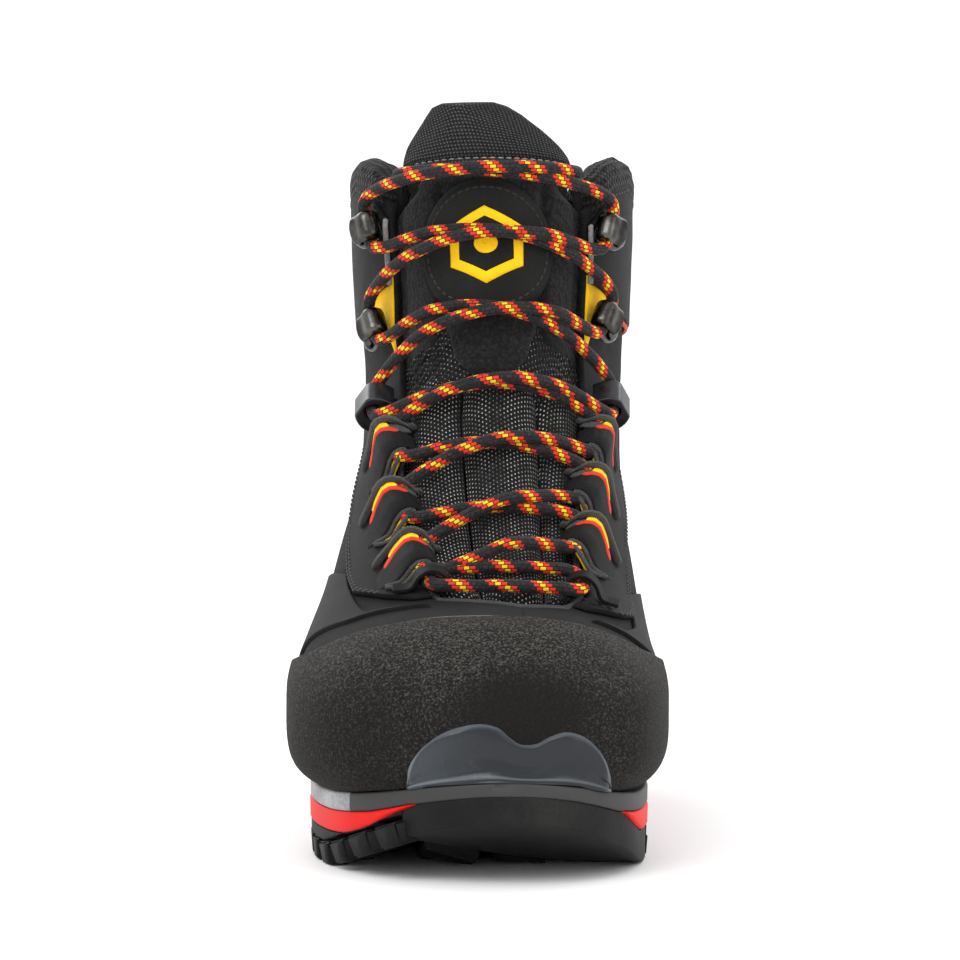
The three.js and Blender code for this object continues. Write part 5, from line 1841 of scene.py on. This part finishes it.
def makeCuffPanel(side):
    def at(a, b):
        share = cuffShare(side, b[0])
        low = topRow(cuffLow(b[0]), lambda u: cuffV(u, share), share.shape)
        top = collarRow(lambda u: cuffV(u, share), cuffDrop(b[0]), share.shape)
        u = lerp(low[None, :], top[None, :], a)
        return u, cuffV(u, cuffShare(side, b))

    def outer(u, v, a, b):
        return cuffPanel["outer"] + 0.2 * cheapNoise(u * 1.5, v * 18, 51)

    rows, cols = cuffPanel["rows"], cuffPanel["cols"]
    obj = thickSheet(f"cuff_panel_{side}_cover", rows, cols, at, outer, cuffPanel["inner"],
                     looks["panel"], edge=0.55)
    obj.data.materials.append(looks["cutEdge"])
    walls = 2 * rows * cols + 2 * cols
    for polygon in obj.data.polygons:
        k = polygon.index
        onWall = k >= walls and (k - walls) % 2 == 0
        nearEdge = k < rows * cols and k % cols < 3
        if onWall or nearEdge:
            polygon.material_index = 1
    weld(obj, 1e-7)
    return obj


backing = {
    "start": 0.006,
    "width": 0.125,
    "low": 150.5,
    "bow": 3.5,
    "high": 178.0,
    "outer": 2.62,
    "inner": 1.2,
}


def makeBacking(side):
    def at(a, b):
        vAt = lambda u: beside(side, u, backing["start"] + backing["width"] * b[0])
        low = topRow(backing["low"] + backing["bow"] * np.sin(np.pi * b[0]), vAt, b[0].shape)
        top = topRow(backing["high"], vAt, b[0].shape)
        u = lerp(low[None, :], top[None, :], a)
        width = backing["width"] * (0.35 + 0.65 * smoothstep(a, 0.0, 0.42))
        return u, beside(side, u, backing["start"] + width * b)

    obj = thickSheet(f"hook_backing_{side}_cloth", 30, 26, at, backing["outer"], backing["inner"],
                     looks["yellow"], edge=0.6)
    weld(obj, 1e-7)
    return obj


for side in sideSign:
    piece(makeCuffPanel(side), "cuff", (f"cuff_panel_{side}",))
    piece(makeBacking(side), "cuff", (f"hook_backing_{side}",))


piping = {"from": 0.22, "to": 0.98, "points": 60, "below": 0.7, "height": 3.1, "radius": 0.75}


# A thin piping just under the lower edge of the cuff panel.
def makeHookPiping(side):
    b = np.linspace(piping["from"], piping["to"], piping["points"])
    share = cuffShare(side, b)
    u = topRow(cuffLow(b) - piping["below"], lambda w: cuffV(w, share), share.shape)
    line = lay(u, cuffV(u, share), piping["height"])
    return cordMesh(f"cuff_piping_{side}", line, piping["radius"], 8, looks["orange"], 0.8)


for side in sideSign:
    piece(makeHookPiping(side), "cuff")

# The bound edge of the throat, down one side and up the other.
bind = {
    "top": 9.0,
    "bend": (4.9, 4.8),
    "low": 4.46,
    "foot": (4.42, 0.065),
    "height": 1.6,
    "radius": 1.1,
}
throatU = np.concatenate([np.linspace(bind["top"], bind["bend"][0], 70),
                          np.linspace(bind["bend"][1], bind["low"], 12)])
bindU = np.concatenate([throatU, [bind["foot"][0]], throatU[::-1]])
bindV = np.concatenate([throatEdge("lateral", throatU), [bind["foot"][1]],
                        throatEdge("medial", throatU[::-1])])
bindLine = curveThrough(lay(bindU, bindV, bind["height"]), 2)
binding = cordMesh("throat_binding", bindLine, bind["radius"], 10, looks["stitch"], 0.9)
piece(binding, "foot")
print("cuff panels made")

# Overlays on the sides and the heel.
heelOverlay = {
    "from": 0.70,
    "to": 1.30,
    "low": 60,
    "high": 112,
    "side": 74,
    "outer": 3.6,
    "inner": 1.6,
    "lowSearch": (9.9, 15.0),
    "topSearch": (8.6, 16.0),
}


# The row at which the form behind the heel reaches a height.
def heelRow(v, height, first, last):
    below, beyond = np.full(v.shape, first), np.full(v.shape, last)
    return findRow(lambda u: formPoint(u, v)[..., 2] - height, below, beyond)


def heelTop(share):
    return lerp(heelOverlay["side"], heelOverlay["high"], np.sin(np.pi * share) ** 1.5)


def overlayAt(a, b):
    v = lerp(heelOverlay["from"], heelOverlay["to"], b[0])
    low = heelRow(v, heelOverlay["low"], *heelOverlay["lowSearch"])
    top = heelRow(v, heelTop(b[0]), *heelOverlay["topSearch"])
    return lerp(np.minimum(low, top - 0.1)[None, :], top[None, :], a), np.broadcast_to(v, a.shape)


def overlayOuter(u, v, a, b):
    return heelOverlay["outer"] + 0.15 * cheapNoise(u * 2, v * 14, 81)


heelPanel = thickSheet("heel_overlay", 50, 90, overlayAt, overlayOuter, heelOverlay["inner"],
                       looks["panel"], edge=1.4)
piece(heelPanel, "foot")

sideOverlay = {
    "outer": 3.3,
    "inner": 1.4,
    "gap": 0.012,
    "width": 0.20,
    "lowRows": (4.4, 5.6),
    "topRows": (6.2, 8.6),
}


def makeSideOverlay(side):
    start = facing["width"] + sideOverlay["gap"]

    def at(a, b):
        low, top = lerp(*sideOverlay["lowRows"], b[0]), lerp(*sideOverlay["topRows"], b[0])
        u = lerp(low[None, :], top[None, :], a)
        return u, beside(side, u, start + sideOverlay["width"] * b)

    obj = thickSheet(f"side_overlay_{side}", 40, 40, at, sideOverlay["outer"], sideOverlay["inner"],
                     looks["facing"], edge=1.4)
    weld(obj, 1e-7)
    return obj


for side in sideSign:
    piece(makeSideOverlay(side), "foot")
print("overlays made")

# The collar.
collar = {
    "section": [
        (1.4, 16, 0), (2.9, 10.5, 0), (3.5, 5.5, 0), (2.6, 1.4, 0), (-0.6, -0.7, 0),
        (-4.2, -0.9, 0), (-7.8, 1.2, 0), (-9.3, 6, 0), (-9.6, 15, 0), (-8.4, 15, 0.5),
        (-5.6, 10, 0.98), (-3.4, 10, 1.0), (-1.2, 12, 0.95), (-0.9, 15, 0.5), (-0.6, 18, 0.1),
    ],
    "samples": 5,
    "cols": 170,
    "clear": 0.012,
    "puff": 0.5,
    "endShare": 0.018,
    "slack": 2,
    "cloth": {"voxel": 4.0, "pressure": 4.0, "cap": 1.6, "frames": 20, "quality": 5},
}


def makeCollar():
    profile = curveThrough(collar["section"], collar["samples"], closed=True)
    count = len(profile)
    b = crowdedShares(collar["cols"], 0.6)
    vAt = lambda u: roundV(u, b, collar["clear"])
    low = topRow(form["cuffBottom"] + collar["slack"], vAt, b.shape)
    rings = []
    centre = profile.mean(axis=0)
    ends = np.clip(np.minimum(b, 1 - b) / collar["endShare"], 0, 1)
    squeeze = 0.35 + 0.65 * np.sqrt(1 - (1 - ends) ** 2)
    for h, drop, share in profile:
        h = centre[0] + (h - centre[0]) * squeeze
        puffed = collar["puff"] * cheapNoise(b * 60, drop / 7 + share * 9, 61)
        u = lerp(collarRow(vAt, drop, b.shape), low, share)
        rings.append(lay(u, vAt(u), h + puffed * (share < 0.6)))
    points = np.array(rings)
    cols = len(b)
    faces = []
    for i in range(count):
        k = (i + 1) % count
        for j in range(cols - 1):
            faces.append([i * cols + j, i * cols + j + 1, k * cols + j + 1, k * cols + j])
    faces.append([i * cols for i in range(count)])
    faces.append([i * cols + cols - 1 for i in reversed(range(count))])
    across = arcLengths(points, 1)
    around = arcLengths(points, 0)
    uv = np.stack([across, around], -1).reshape(-1, 2)
    obj = makeMesh("collar_padding_roll", points.reshape(-1, 3), faces, uv, looks["collar"])
    weld(obj, 1e-7)
    return obj


# Puffs a soft piece up with cloth pressure and keeps each point near where it began.
def puffUp(obj, voxel, pressure, cap, frames, quality):
    start = obj.copy()
    start.data = obj.data.copy()
    bpy.context.scene.collection.objects.link(start)
    remesh = start.modifiers.new("remesh", "REMESH")
    remesh.mode = "VOXEL"
    remesh.voxel_size = voxel / 1000
    applyModifiers(start)
    before = np.empty(len(start.data.vertices) * 3)
    start.data.vertices.foreach_get("co", before)
    cloth = start.modifiers.new("cloth", "CLOTH")
    cloth.settings.use_pressure = True
    cloth.settings.uniform_pressure_force = pressure
    cloth.settings.effector_weights.gravity = 0
    cloth.settings.quality = quality
    cloth.point_cache.frame_start, cloth.point_cache.frame_end = 1, frames
    for step in range(1, frames + 1):
        bpy.context.scene.frame_set(step)
    applyModifiers(start)
    after = np.empty_like(before)
    start.data.vertices.foreach_get("co", after)
    bpy.context.scene.frame_set(1)
    move = (after - before).reshape(-1, 3)
    far = np.linalg.norm(move, axis=1, keepdims=True)
    move = move * np.minimum(1, (cap / 1000) / np.maximum(far, 1e-9))
    start.data.vertices.foreach_set("co", (before.reshape(-1, 3) + move).ravel())
    puffed = start.data
    tree = BVHTree.FromPolygons([v.co.copy() for v in puffed.vertices],
                                [list(p.vertices) for p in puffed.polygons])
    mesh = obj.data
    normals = [v.normal.copy() for v in mesh.vertices]
    for vert, normal in zip(mesh.vertices, normals):
        place = tree.find_nearest(vert.co)[0]
        if place is not None:
            grown = (place - vert.co).dot(normal)
            vert.co += normal * max(-cap / 1000, min(cap / 1000, grown))
    bpy.data.objects.remove(start)
    mesh.update()
    return obj


collarRoll = makeCollar()
puffUp(collarRoll, **collar["cloth"])
piece(collarRoll, "cuff", ("collar_padding",))
print("collar made")

# The lining and the heel loop.

liningCloth = {"clear": 0.05, "startRow": 1.4, "top": 150.0, "outer": -2.7, "inner": -5.9}


def liningAt(a, b):
    edgeLine, clear = b[0], liningCloth["clear"]
    top = topRow(liningCloth["top"], lambda u: roundV(u, edgeLine, clear), edgeLine.shape)
    u = lerp(liningCloth["startRow"], top[None, :], a)
    return u, roundV(u, b, clear)


lining = thickSheet("foot_lining_cloth", 70, 90, liningAt,
                    lambda u, v, a, b: liningCloth["outer"] + 0.2 * cheapNoise(u * 2, v * 15, 71),
                    liningCloth["inner"], looks["lining"], edge=1.5, pull=0.3)
weld(lining)
anklePiece(lining, ("foot_lining",))

strap = {"rows": (14.2, 17.0), "edges": (0.955, 1.045), "outer": (4.2, 6.2), "inner": (2.7, 6.0)}


# The strap stands out from the heel in the middle of its length.
def strapHeight(side):
    flat, standing = strap[side]
    return lambda u, v, a, b: flat + standing * np.sin(np.pi * a) ** 0.8


pullLoop = thickSheet(
    "heel_pull_loop_strap", 46, 16,
    lambda a, b: (lerp(*strap["rows"], a), lerp(*strap["edges"], b)),
    strapHeight("outer"), strapHeight("inner"),
    looks["webbing"], edge=0.7,
)
piece(pullLoop, "cuff", ("heel_pull_loop",))
print("lining and heel loop made")

# The lace: (u, v, height) stops through the guides.
lace = {
    "radius": 2.0,
    "sides": 14,
    "step": 0.9,
    "rib": 0.09,
    "passes": {"loop": 6.7, "eyelet": 9.1, "hook": 8.2},
    "over": 4.6,
    "clear": 1.9,
    "padLow": 2.0,
    "padBadge": 4.0,
    "hookLevel": 5,
    "levels": 7,
    "waves": 7,
    "waveLength": 2.2,
    "mouth": {"row": 16.45, "medial": 0.191, "lateral": -0.214, "height": 4.5},
    "inside": [(16.5, 0.0, -1.5), (16.1, 0.005, -7.2), (15.2, 0.03, -8.2), (14.2, 0.04, -8)],
}


def passHeight(level):
    if level >= lace["hookLevel"]:
        return lace["passes"]["hook"]
    return lace["passes"]["eyelet" if level == 4 else "loop"]


def guidePass(side, level):
    u0, v0, away = guideAt(side, level)
    inner = -1.6 if level >= lace["hookLevel"] else -0.7
    straight = (9.0 if level else 5.0) / 2 + 1.6
    stops = []
    places = ((-5.5, -straight - 3), (inner, -straight), (inner, straight), (-5.5, straight + 3))
    for s, t in places:
        u, v = near(u0, v0, s * away, t)
        stops.append((float(u), float(v), passHeight(level)))
    return stops


def strand(first, last, over, onBadge=False):
    low = (lace["padBadge"] if onBadge else lace["padLow"]) + lace["radius"] + lace["clear"]
    high = low + lace["over"]
    stops = []
    for share in (0.25, 0.5, 0.75):
        raised = high if share == 0.5 else (low + high) / 2 + 0.3
        u, v = lerp(first[0], last[0], share), lerp(first[1], last[1], share)
        stops.append((u, v, raised if over else low))
    return stops


def laceHalf(startSide, overFirst):
    order = ["medial", "lateral"] if startSide == "medial" else ["lateral", "medial"]
    points = []
    for level in range(lace["levels"]):
        stops = guidePass(order[level % 2], level)
        if level:
            over = overFirst == (level % 2 == 1)
            points += strand(points[-1], stops[0], over, level >= lace["hookLevel"])
        points += stops
    return points


def tuckedEnd(last, side, over):
    gapV = lace["mouth"][side]
    mouth = (lace["mouth"]["row"], gapV, lace["mouth"]["height"])
    inside = [(u, gapV - inward * sideSign[side], height) for u, inward, height in lace["inside"]]
    return strand(last, mouth, over, True) + [mouth] + inside


def laceRoute():
    one = laceHalf("lateral", True)
    other = laceHalf("medial", False)
    one += tuckedEnd(one[-1], "medial", True)
    other += tuckedEnd(other[-1], "lateral", False)
    one.reverse()
    return one + strand(one[-1], other[0], False) + other


def makeLace():
    stops = np.array(laceRoute())
    points = lay(stops[:, 0], stops[:, 1], stops[:, 2])
    line = curveThrough(points, 14)
    waves, turn = lace["waves"], lace["waveLength"]

    def rib(s, angle):
        return lace["rib"] * np.cos(waves * angle + s * turn) * np.cos(waves * angle - s * turn)

    cord = cordMesh("lace_cord", line, lace["radius"], lace["sides"], looks["lace"], lace["step"],
                    rib)
    return cord, float(np.linalg.norm(np.diff(line, axis=0), axis=1).sum())


laceCord, laceLength = makeLace()
anklePiece(laceCord, ("lace",))
print("lace made, length mm", round(laceLength))

# What repeats along a path: stitches and lugs.

def pathRepeater():
    group = bpy.data.node_groups.new("alongPath", "GeometryNodeTree")
    sockets = [("Path", "Geometry"), ("Pitch", "Float"), ("Piece", "Object"),
               ("Finish", "Material")]
    for name, kind in sockets:
        group.interface.new_socket(name, in_out="INPUT", socket_type=f"NodeSocket{kind}")
    group.interface.new_socket("Result", in_out="OUTPUT", socket_type="NodeSocketGeometry")
    kinds = {
        "start": "NodeGroupInput", "end": "NodeGroupOutput", "curve": "GeometryNodeMeshToCurve",
        "resample": "GeometryNodeResampleCurve", "place": "GeometryNodeInstanceOnPoints",
        "source": "GeometryNodeObjectInfo", "tangent": "GeometryNodeInputTangent",
        "turn": "FunctionNodeAlignRotationToVector", "realize": "GeometryNodeRealizeInstances",
        "paint": "GeometryNodeSetMaterial",
    }
    nodes = {name: group.nodes.new(kind) for name, kind in kinds.items()}
    nodes["resample"].mode = "LENGTH"
    nodes["turn"].axis = "X"
    wires = [
        ("start", "Path", "curve", "Mesh"), ("curve", "Curve", "resample", "Curve"),
        ("start", "Pitch", "resample", "Length"), ("resample", "Curve", "place", "Points"),
        ("start", "Piece", "source", "Object"), ("source", "Geometry", "place", "Instance"),
        ("tangent", "Tangent", "turn", "Vector"), ("turn", "Rotation", "place", "Rotation"),
        ("place", "Instances", "realize", "Geometry"), ("realize", "Geometry", "paint", "Geometry"),
        ("start", "Finish", "paint", "Material"), ("paint", "Geometry", "end", "Result"),
    ]
    for source, output, target, entry in wires:
        group.links.new(nodes[source].outputs[output], nodes[target].inputs[entry])
    return group


repeater = pathRepeater()


# Repeats a small mesh along lines given in millimetres and returns one plain mesh object.
def repeatAlong(name, lines, pitch, small, material):
    verts, edges = [], []
    for line in lines:
        first = len(verts)
        verts += (np.asarray(line) / 1000).tolist()
        edges += [(first + k, first + k + 1) for k in range(len(line) - 1)]
    mesh = bpy.data.meshes.new(name)
    mesh.from_pydata(verts, edges, [])
    obj = addObject(name, mesh)
    modifier = obj.modifiers.new("repeat", "NODES")
    modifier.node_group = repeater
    entries = [item for item in repeater.interface.items_tree if item.in_out == "INPUT"]
    keys = {item.name: item.identifier for item in entries}
    modifier[keys["Pitch"]] = pitch / 1000
    modifier[keys["Piece"]] = small
    modifier[keys["Finish"]] = material
    applyModifiers(obj)
    obj.data.materials.clear()
    obj.data.materials.append(material)
    obj.data.polygons.foreach_set("material_index", [0] * len(obj.data.polygons))
    obj.data.polygons.foreach_set("use_smooth", [True] * len(obj.data.polygons))
    return obj


stitch = {
    "length": 1.9,
    "radius": 0.33,
    "pitch": 2.6,
    "sides": 6,
    "facingInsets": (0.004, 0.011),
    "facingLow": 4.98,
    "footRow": 5.0,
    "footWidth": 0.55,
    "cuffShares": (0.93, 0.97),
    "cuffHeight": 4.35,
    "badgeRadius": 18.2,
    "flapShares": (0.15, 0.85),
    "overlayGaps": (2.0, 4.2),
}


def makeStitchMesh():
    rings, sides = 5, stitch["sides"]
    verts = []
    for i in range(rings):
        f = i / (rings - 1)
        reach = stitch["length"] / 2 * (2 * f - 1)
        swell = 0.35 + 0.65 * math.sin(math.pi * f) ** 0.5 if 0 < f < 1 else 0.3
        r = stitch["radius"] * swell
        for j in range(sides):
            angle = 2 * math.pi * j / sides
            verts.append((reach, r * math.cos(angle), r * math.sin(angle)))
    faces = tubeFaces(rings, sides)
    faces.append(list(reversed(range(sides))))
    faces.append([(rings - 1) * sides + j for j in range(sides)])
    return makeMesh("stitchShape", verts, faces)


def facingStitchLines():
    lines = []
    for side in sideSign:
        for inset in stitch["facingInsets"]:
            b = 1 - inset / facing["width"]
            top = float(facingTop(side, b, ()))
            u = lerp(stitch["facingLow"], top, np.linspace(0.03, 0.99, 150))
            lines.append(lay(u, facingV(side, u, b), facing["outer"]))
        b = np.linspace(0.1, 0.97, 40)
        u = stitch["footRow"] + 0.25 * np.maximum(0, (b - 0.6) / 0.4) ** 2
        across = facing["start"] + facing["width"] * stitch["footWidth"] * b
        lines.append(lay(u, beside(side, u, across), facing["outer"]))
    return lines


def cuffStitchLines():
    lines = []
    for side in sideSign:
        for b in stitch["cuffShares"]:
            share = cuffShare(side, b)
            low = float(topRow(cuffPanel["bottom"] + 1, lambda u: cuffV(u, share), ()))
            top = float(collarRow(lambda u: cuffV(u, share), cuffPanel["drop"] + 1, ()))
            u = np.linspace(low, top, 60)
            lines.append(lay(u, cuffV(u, share), stitch["cuffHeight"]))
        b = np.linspace(0.08, 0.92, 60)
        share = cuffShare(side, b)
        u = collarRow(lambda w: cuffV(w, share), cuffDrop(b) + 2, share.shape)
        lines.append(lay(u, cuffV(u, share), stitch["cuffHeight"]))
    angle = np.linspace(0, 2 * np.pi, 90)
    reach = stitch["badgeRadius"]
    u, v = near(badge["u"], badge["v"], reach * np.sin(angle), reach * np.cos(angle))
    lines.append(lay(u, v, badgeTop + 0.05))
    return lines


def flapStitchLines():
    b = np.linspace(*stitch["flapShares"], 60)
    row = tongue["flapSeamRow"]
    v = lerp(along(tongue["flapLateral"], row), along(tongue["flapMedial"], row), b)
    height = tongue["flapBase"] + tongue["flapCrown"] * (1 - np.abs(2 * b - 1) ** 3) - 0.85
    return [lay(np.full(60, row), v, height)]


def overlayStitchLines():
    lines = []
    b = np.linspace(0.02, 0.98, 130)
    v = lerp(heelOverlay["from"], heelOverlay["to"], b)
    for gap in stitch["overlayGaps"]:
        u = heelRow(v, heelTop(b) - gap, *heelOverlay["topSearch"])
        lines.append(lay(u, v, heelOverlay["outer"]))
    return lines


stitchShape = makeStitchMesh()
stitchRows = [
    ("facing_stitches", facingStitchLines() + overlayStitchLines(), "stitch", "foot"),
    ("cuff_stitches", cuffStitchLines(), "stitch", "cuff"),
    ("flap_stitches", flapStitchLines(), "cutEdge", "tongue_flap"),
]
for name, lines, look, body in stitchRows:
    row = repeatAlong(name, lines, stitch["pitch"], stitchShape, looks[look])
    piece(row, body)

lug = {
    "pitch": 13.5,
    "width": 10.6,
    "length": 15.0,
    "middleWidth": 0.85,
    "middleLength": 17.0,
    "taper": 0.9,
    "flare": 1.12,
    "bevel": 0.7,
    "edge": 0.35,
    "frontEdges": [(False, -73, -12), (True, -130, -12)],
    "frontMiddles": [(-11, -112, -16), (11, -96, -16)],
    "heelEdges": [(False, 52, 132), (True, 52, 130)],
    "heelMiddles": [(0, 58, 138)],
}


# A lug as a tapered block with softened edges, standing from -half to +half of the lug depth.
def makeLugMesh(name, width, length, height):
    bm = bmesh.new()
    corners = []
    for z, grow in ((-height / 2, -lug["taper"] / 2), (height / 2, lug["taper"] / 2)):
        w, h = width / 2 + grow, length / 2 + grow * 0.5
        wide = w * lug["flare"]
        outline = ((-w, -h), (w, -h), (wide, h), (-wide, h))
        corners.append([bm.verts.new((x, y, z)) for x, y in outline])
    low, high = corners
    bm.faces.new(list(reversed(low)))
    bm.faces.new(high)
    for k in range(4):
        n = (k + 1) % 4
        bm.faces.new([low[k], low[n], high[n], high[k]])
    bmesh.ops.bevel(bm, geom=list(bm.edges), offset=lug["bevel"], segments=2, affect="EDGES")
    bmesh.ops.scale(bm, verts=bm.verts, vec=(0.001, 0.001, 0.001))
    bmesh.ops.recalc_face_normals(bm, faces=bm.faces)
    return fromBmesh(name, bm)


# The height of a lug's middle, standing on both of its own edges where the sole starts to rise.
def lugLine(ys):
    reach = lug["width"] / 2
    return (soleBottom(ys - reach) + soleBottom(ys + reach)) / 2 + sole["lugDepth"] / 2 + 0.05


def edgePath(left, yFrom, yTo):
    inset = lug["length"] / 2 + lug["edge"]
    ys = np.linspace(yFrom, yTo, 120)
    sign = 1 if left else -1
    xs = np.array([float(outlineX(y, left)) + sign * inset for y in ys])
    line = np.stack([xs, ys, lugLine(ys)], -1) + shift
    return line[::-1] if left else line


def middlePath(offset, yFrom, yTo):
    ys = np.linspace(yFrom, yTo, 90)
    xs = np.array([(float(outlineX(y, True)) + float(outlineX(y, False))) / 2 + offset for y in ys])
    return np.stack([xs, ys, lugLine(ys)], -1) + shift


edgeLug = makeLugMesh("edgeLug", lug["width"], lug["length"], sole["lugDepth"] + 0.1)
middleLug = makeLugMesh("middleLug", lug["width"] * lug["middleWidth"], lug["middleLength"],
                        sole["lugDepth"] - 0.6)
for name, part in (("outsole_front_lugs", "front"), ("outsole_heel_lugs", "heel")):
    edges = [edgePath(*row) for row in lug[f"{part}Edges"]]
    middles = [middlePath(*row) for row in lug[f"{part}Middles"]]
    blocks = joinAs(name, [
        repeatAlong(f"{part}EdgeLugs", edges, lug["pitch"], edgeLug, looks["rubber"]),
        repeatAlong(f"{part}MiddleLugs", middles, lug["pitch"], middleLug, looks["rubber"]),
    ])
    piece(blocks, "foot")
for shape in (stitchShape, edgeLug, middleLug):
    bpy.data.objects.remove(shape)
print("stitches and lugs made")

# CAD nodes that stay.
kept = {
    "toe_puff": "plastic",
    "heel_counter": "plastic",
    "shank_board": "board",
    "footbed": "board",
    "lace_tip_lateral": "nylon",
    "lace_tip_medial": "nylon",
}
for node, look in kept.items():
    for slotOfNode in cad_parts[node].material_slots:
        slotOfNode.material = looks[look]
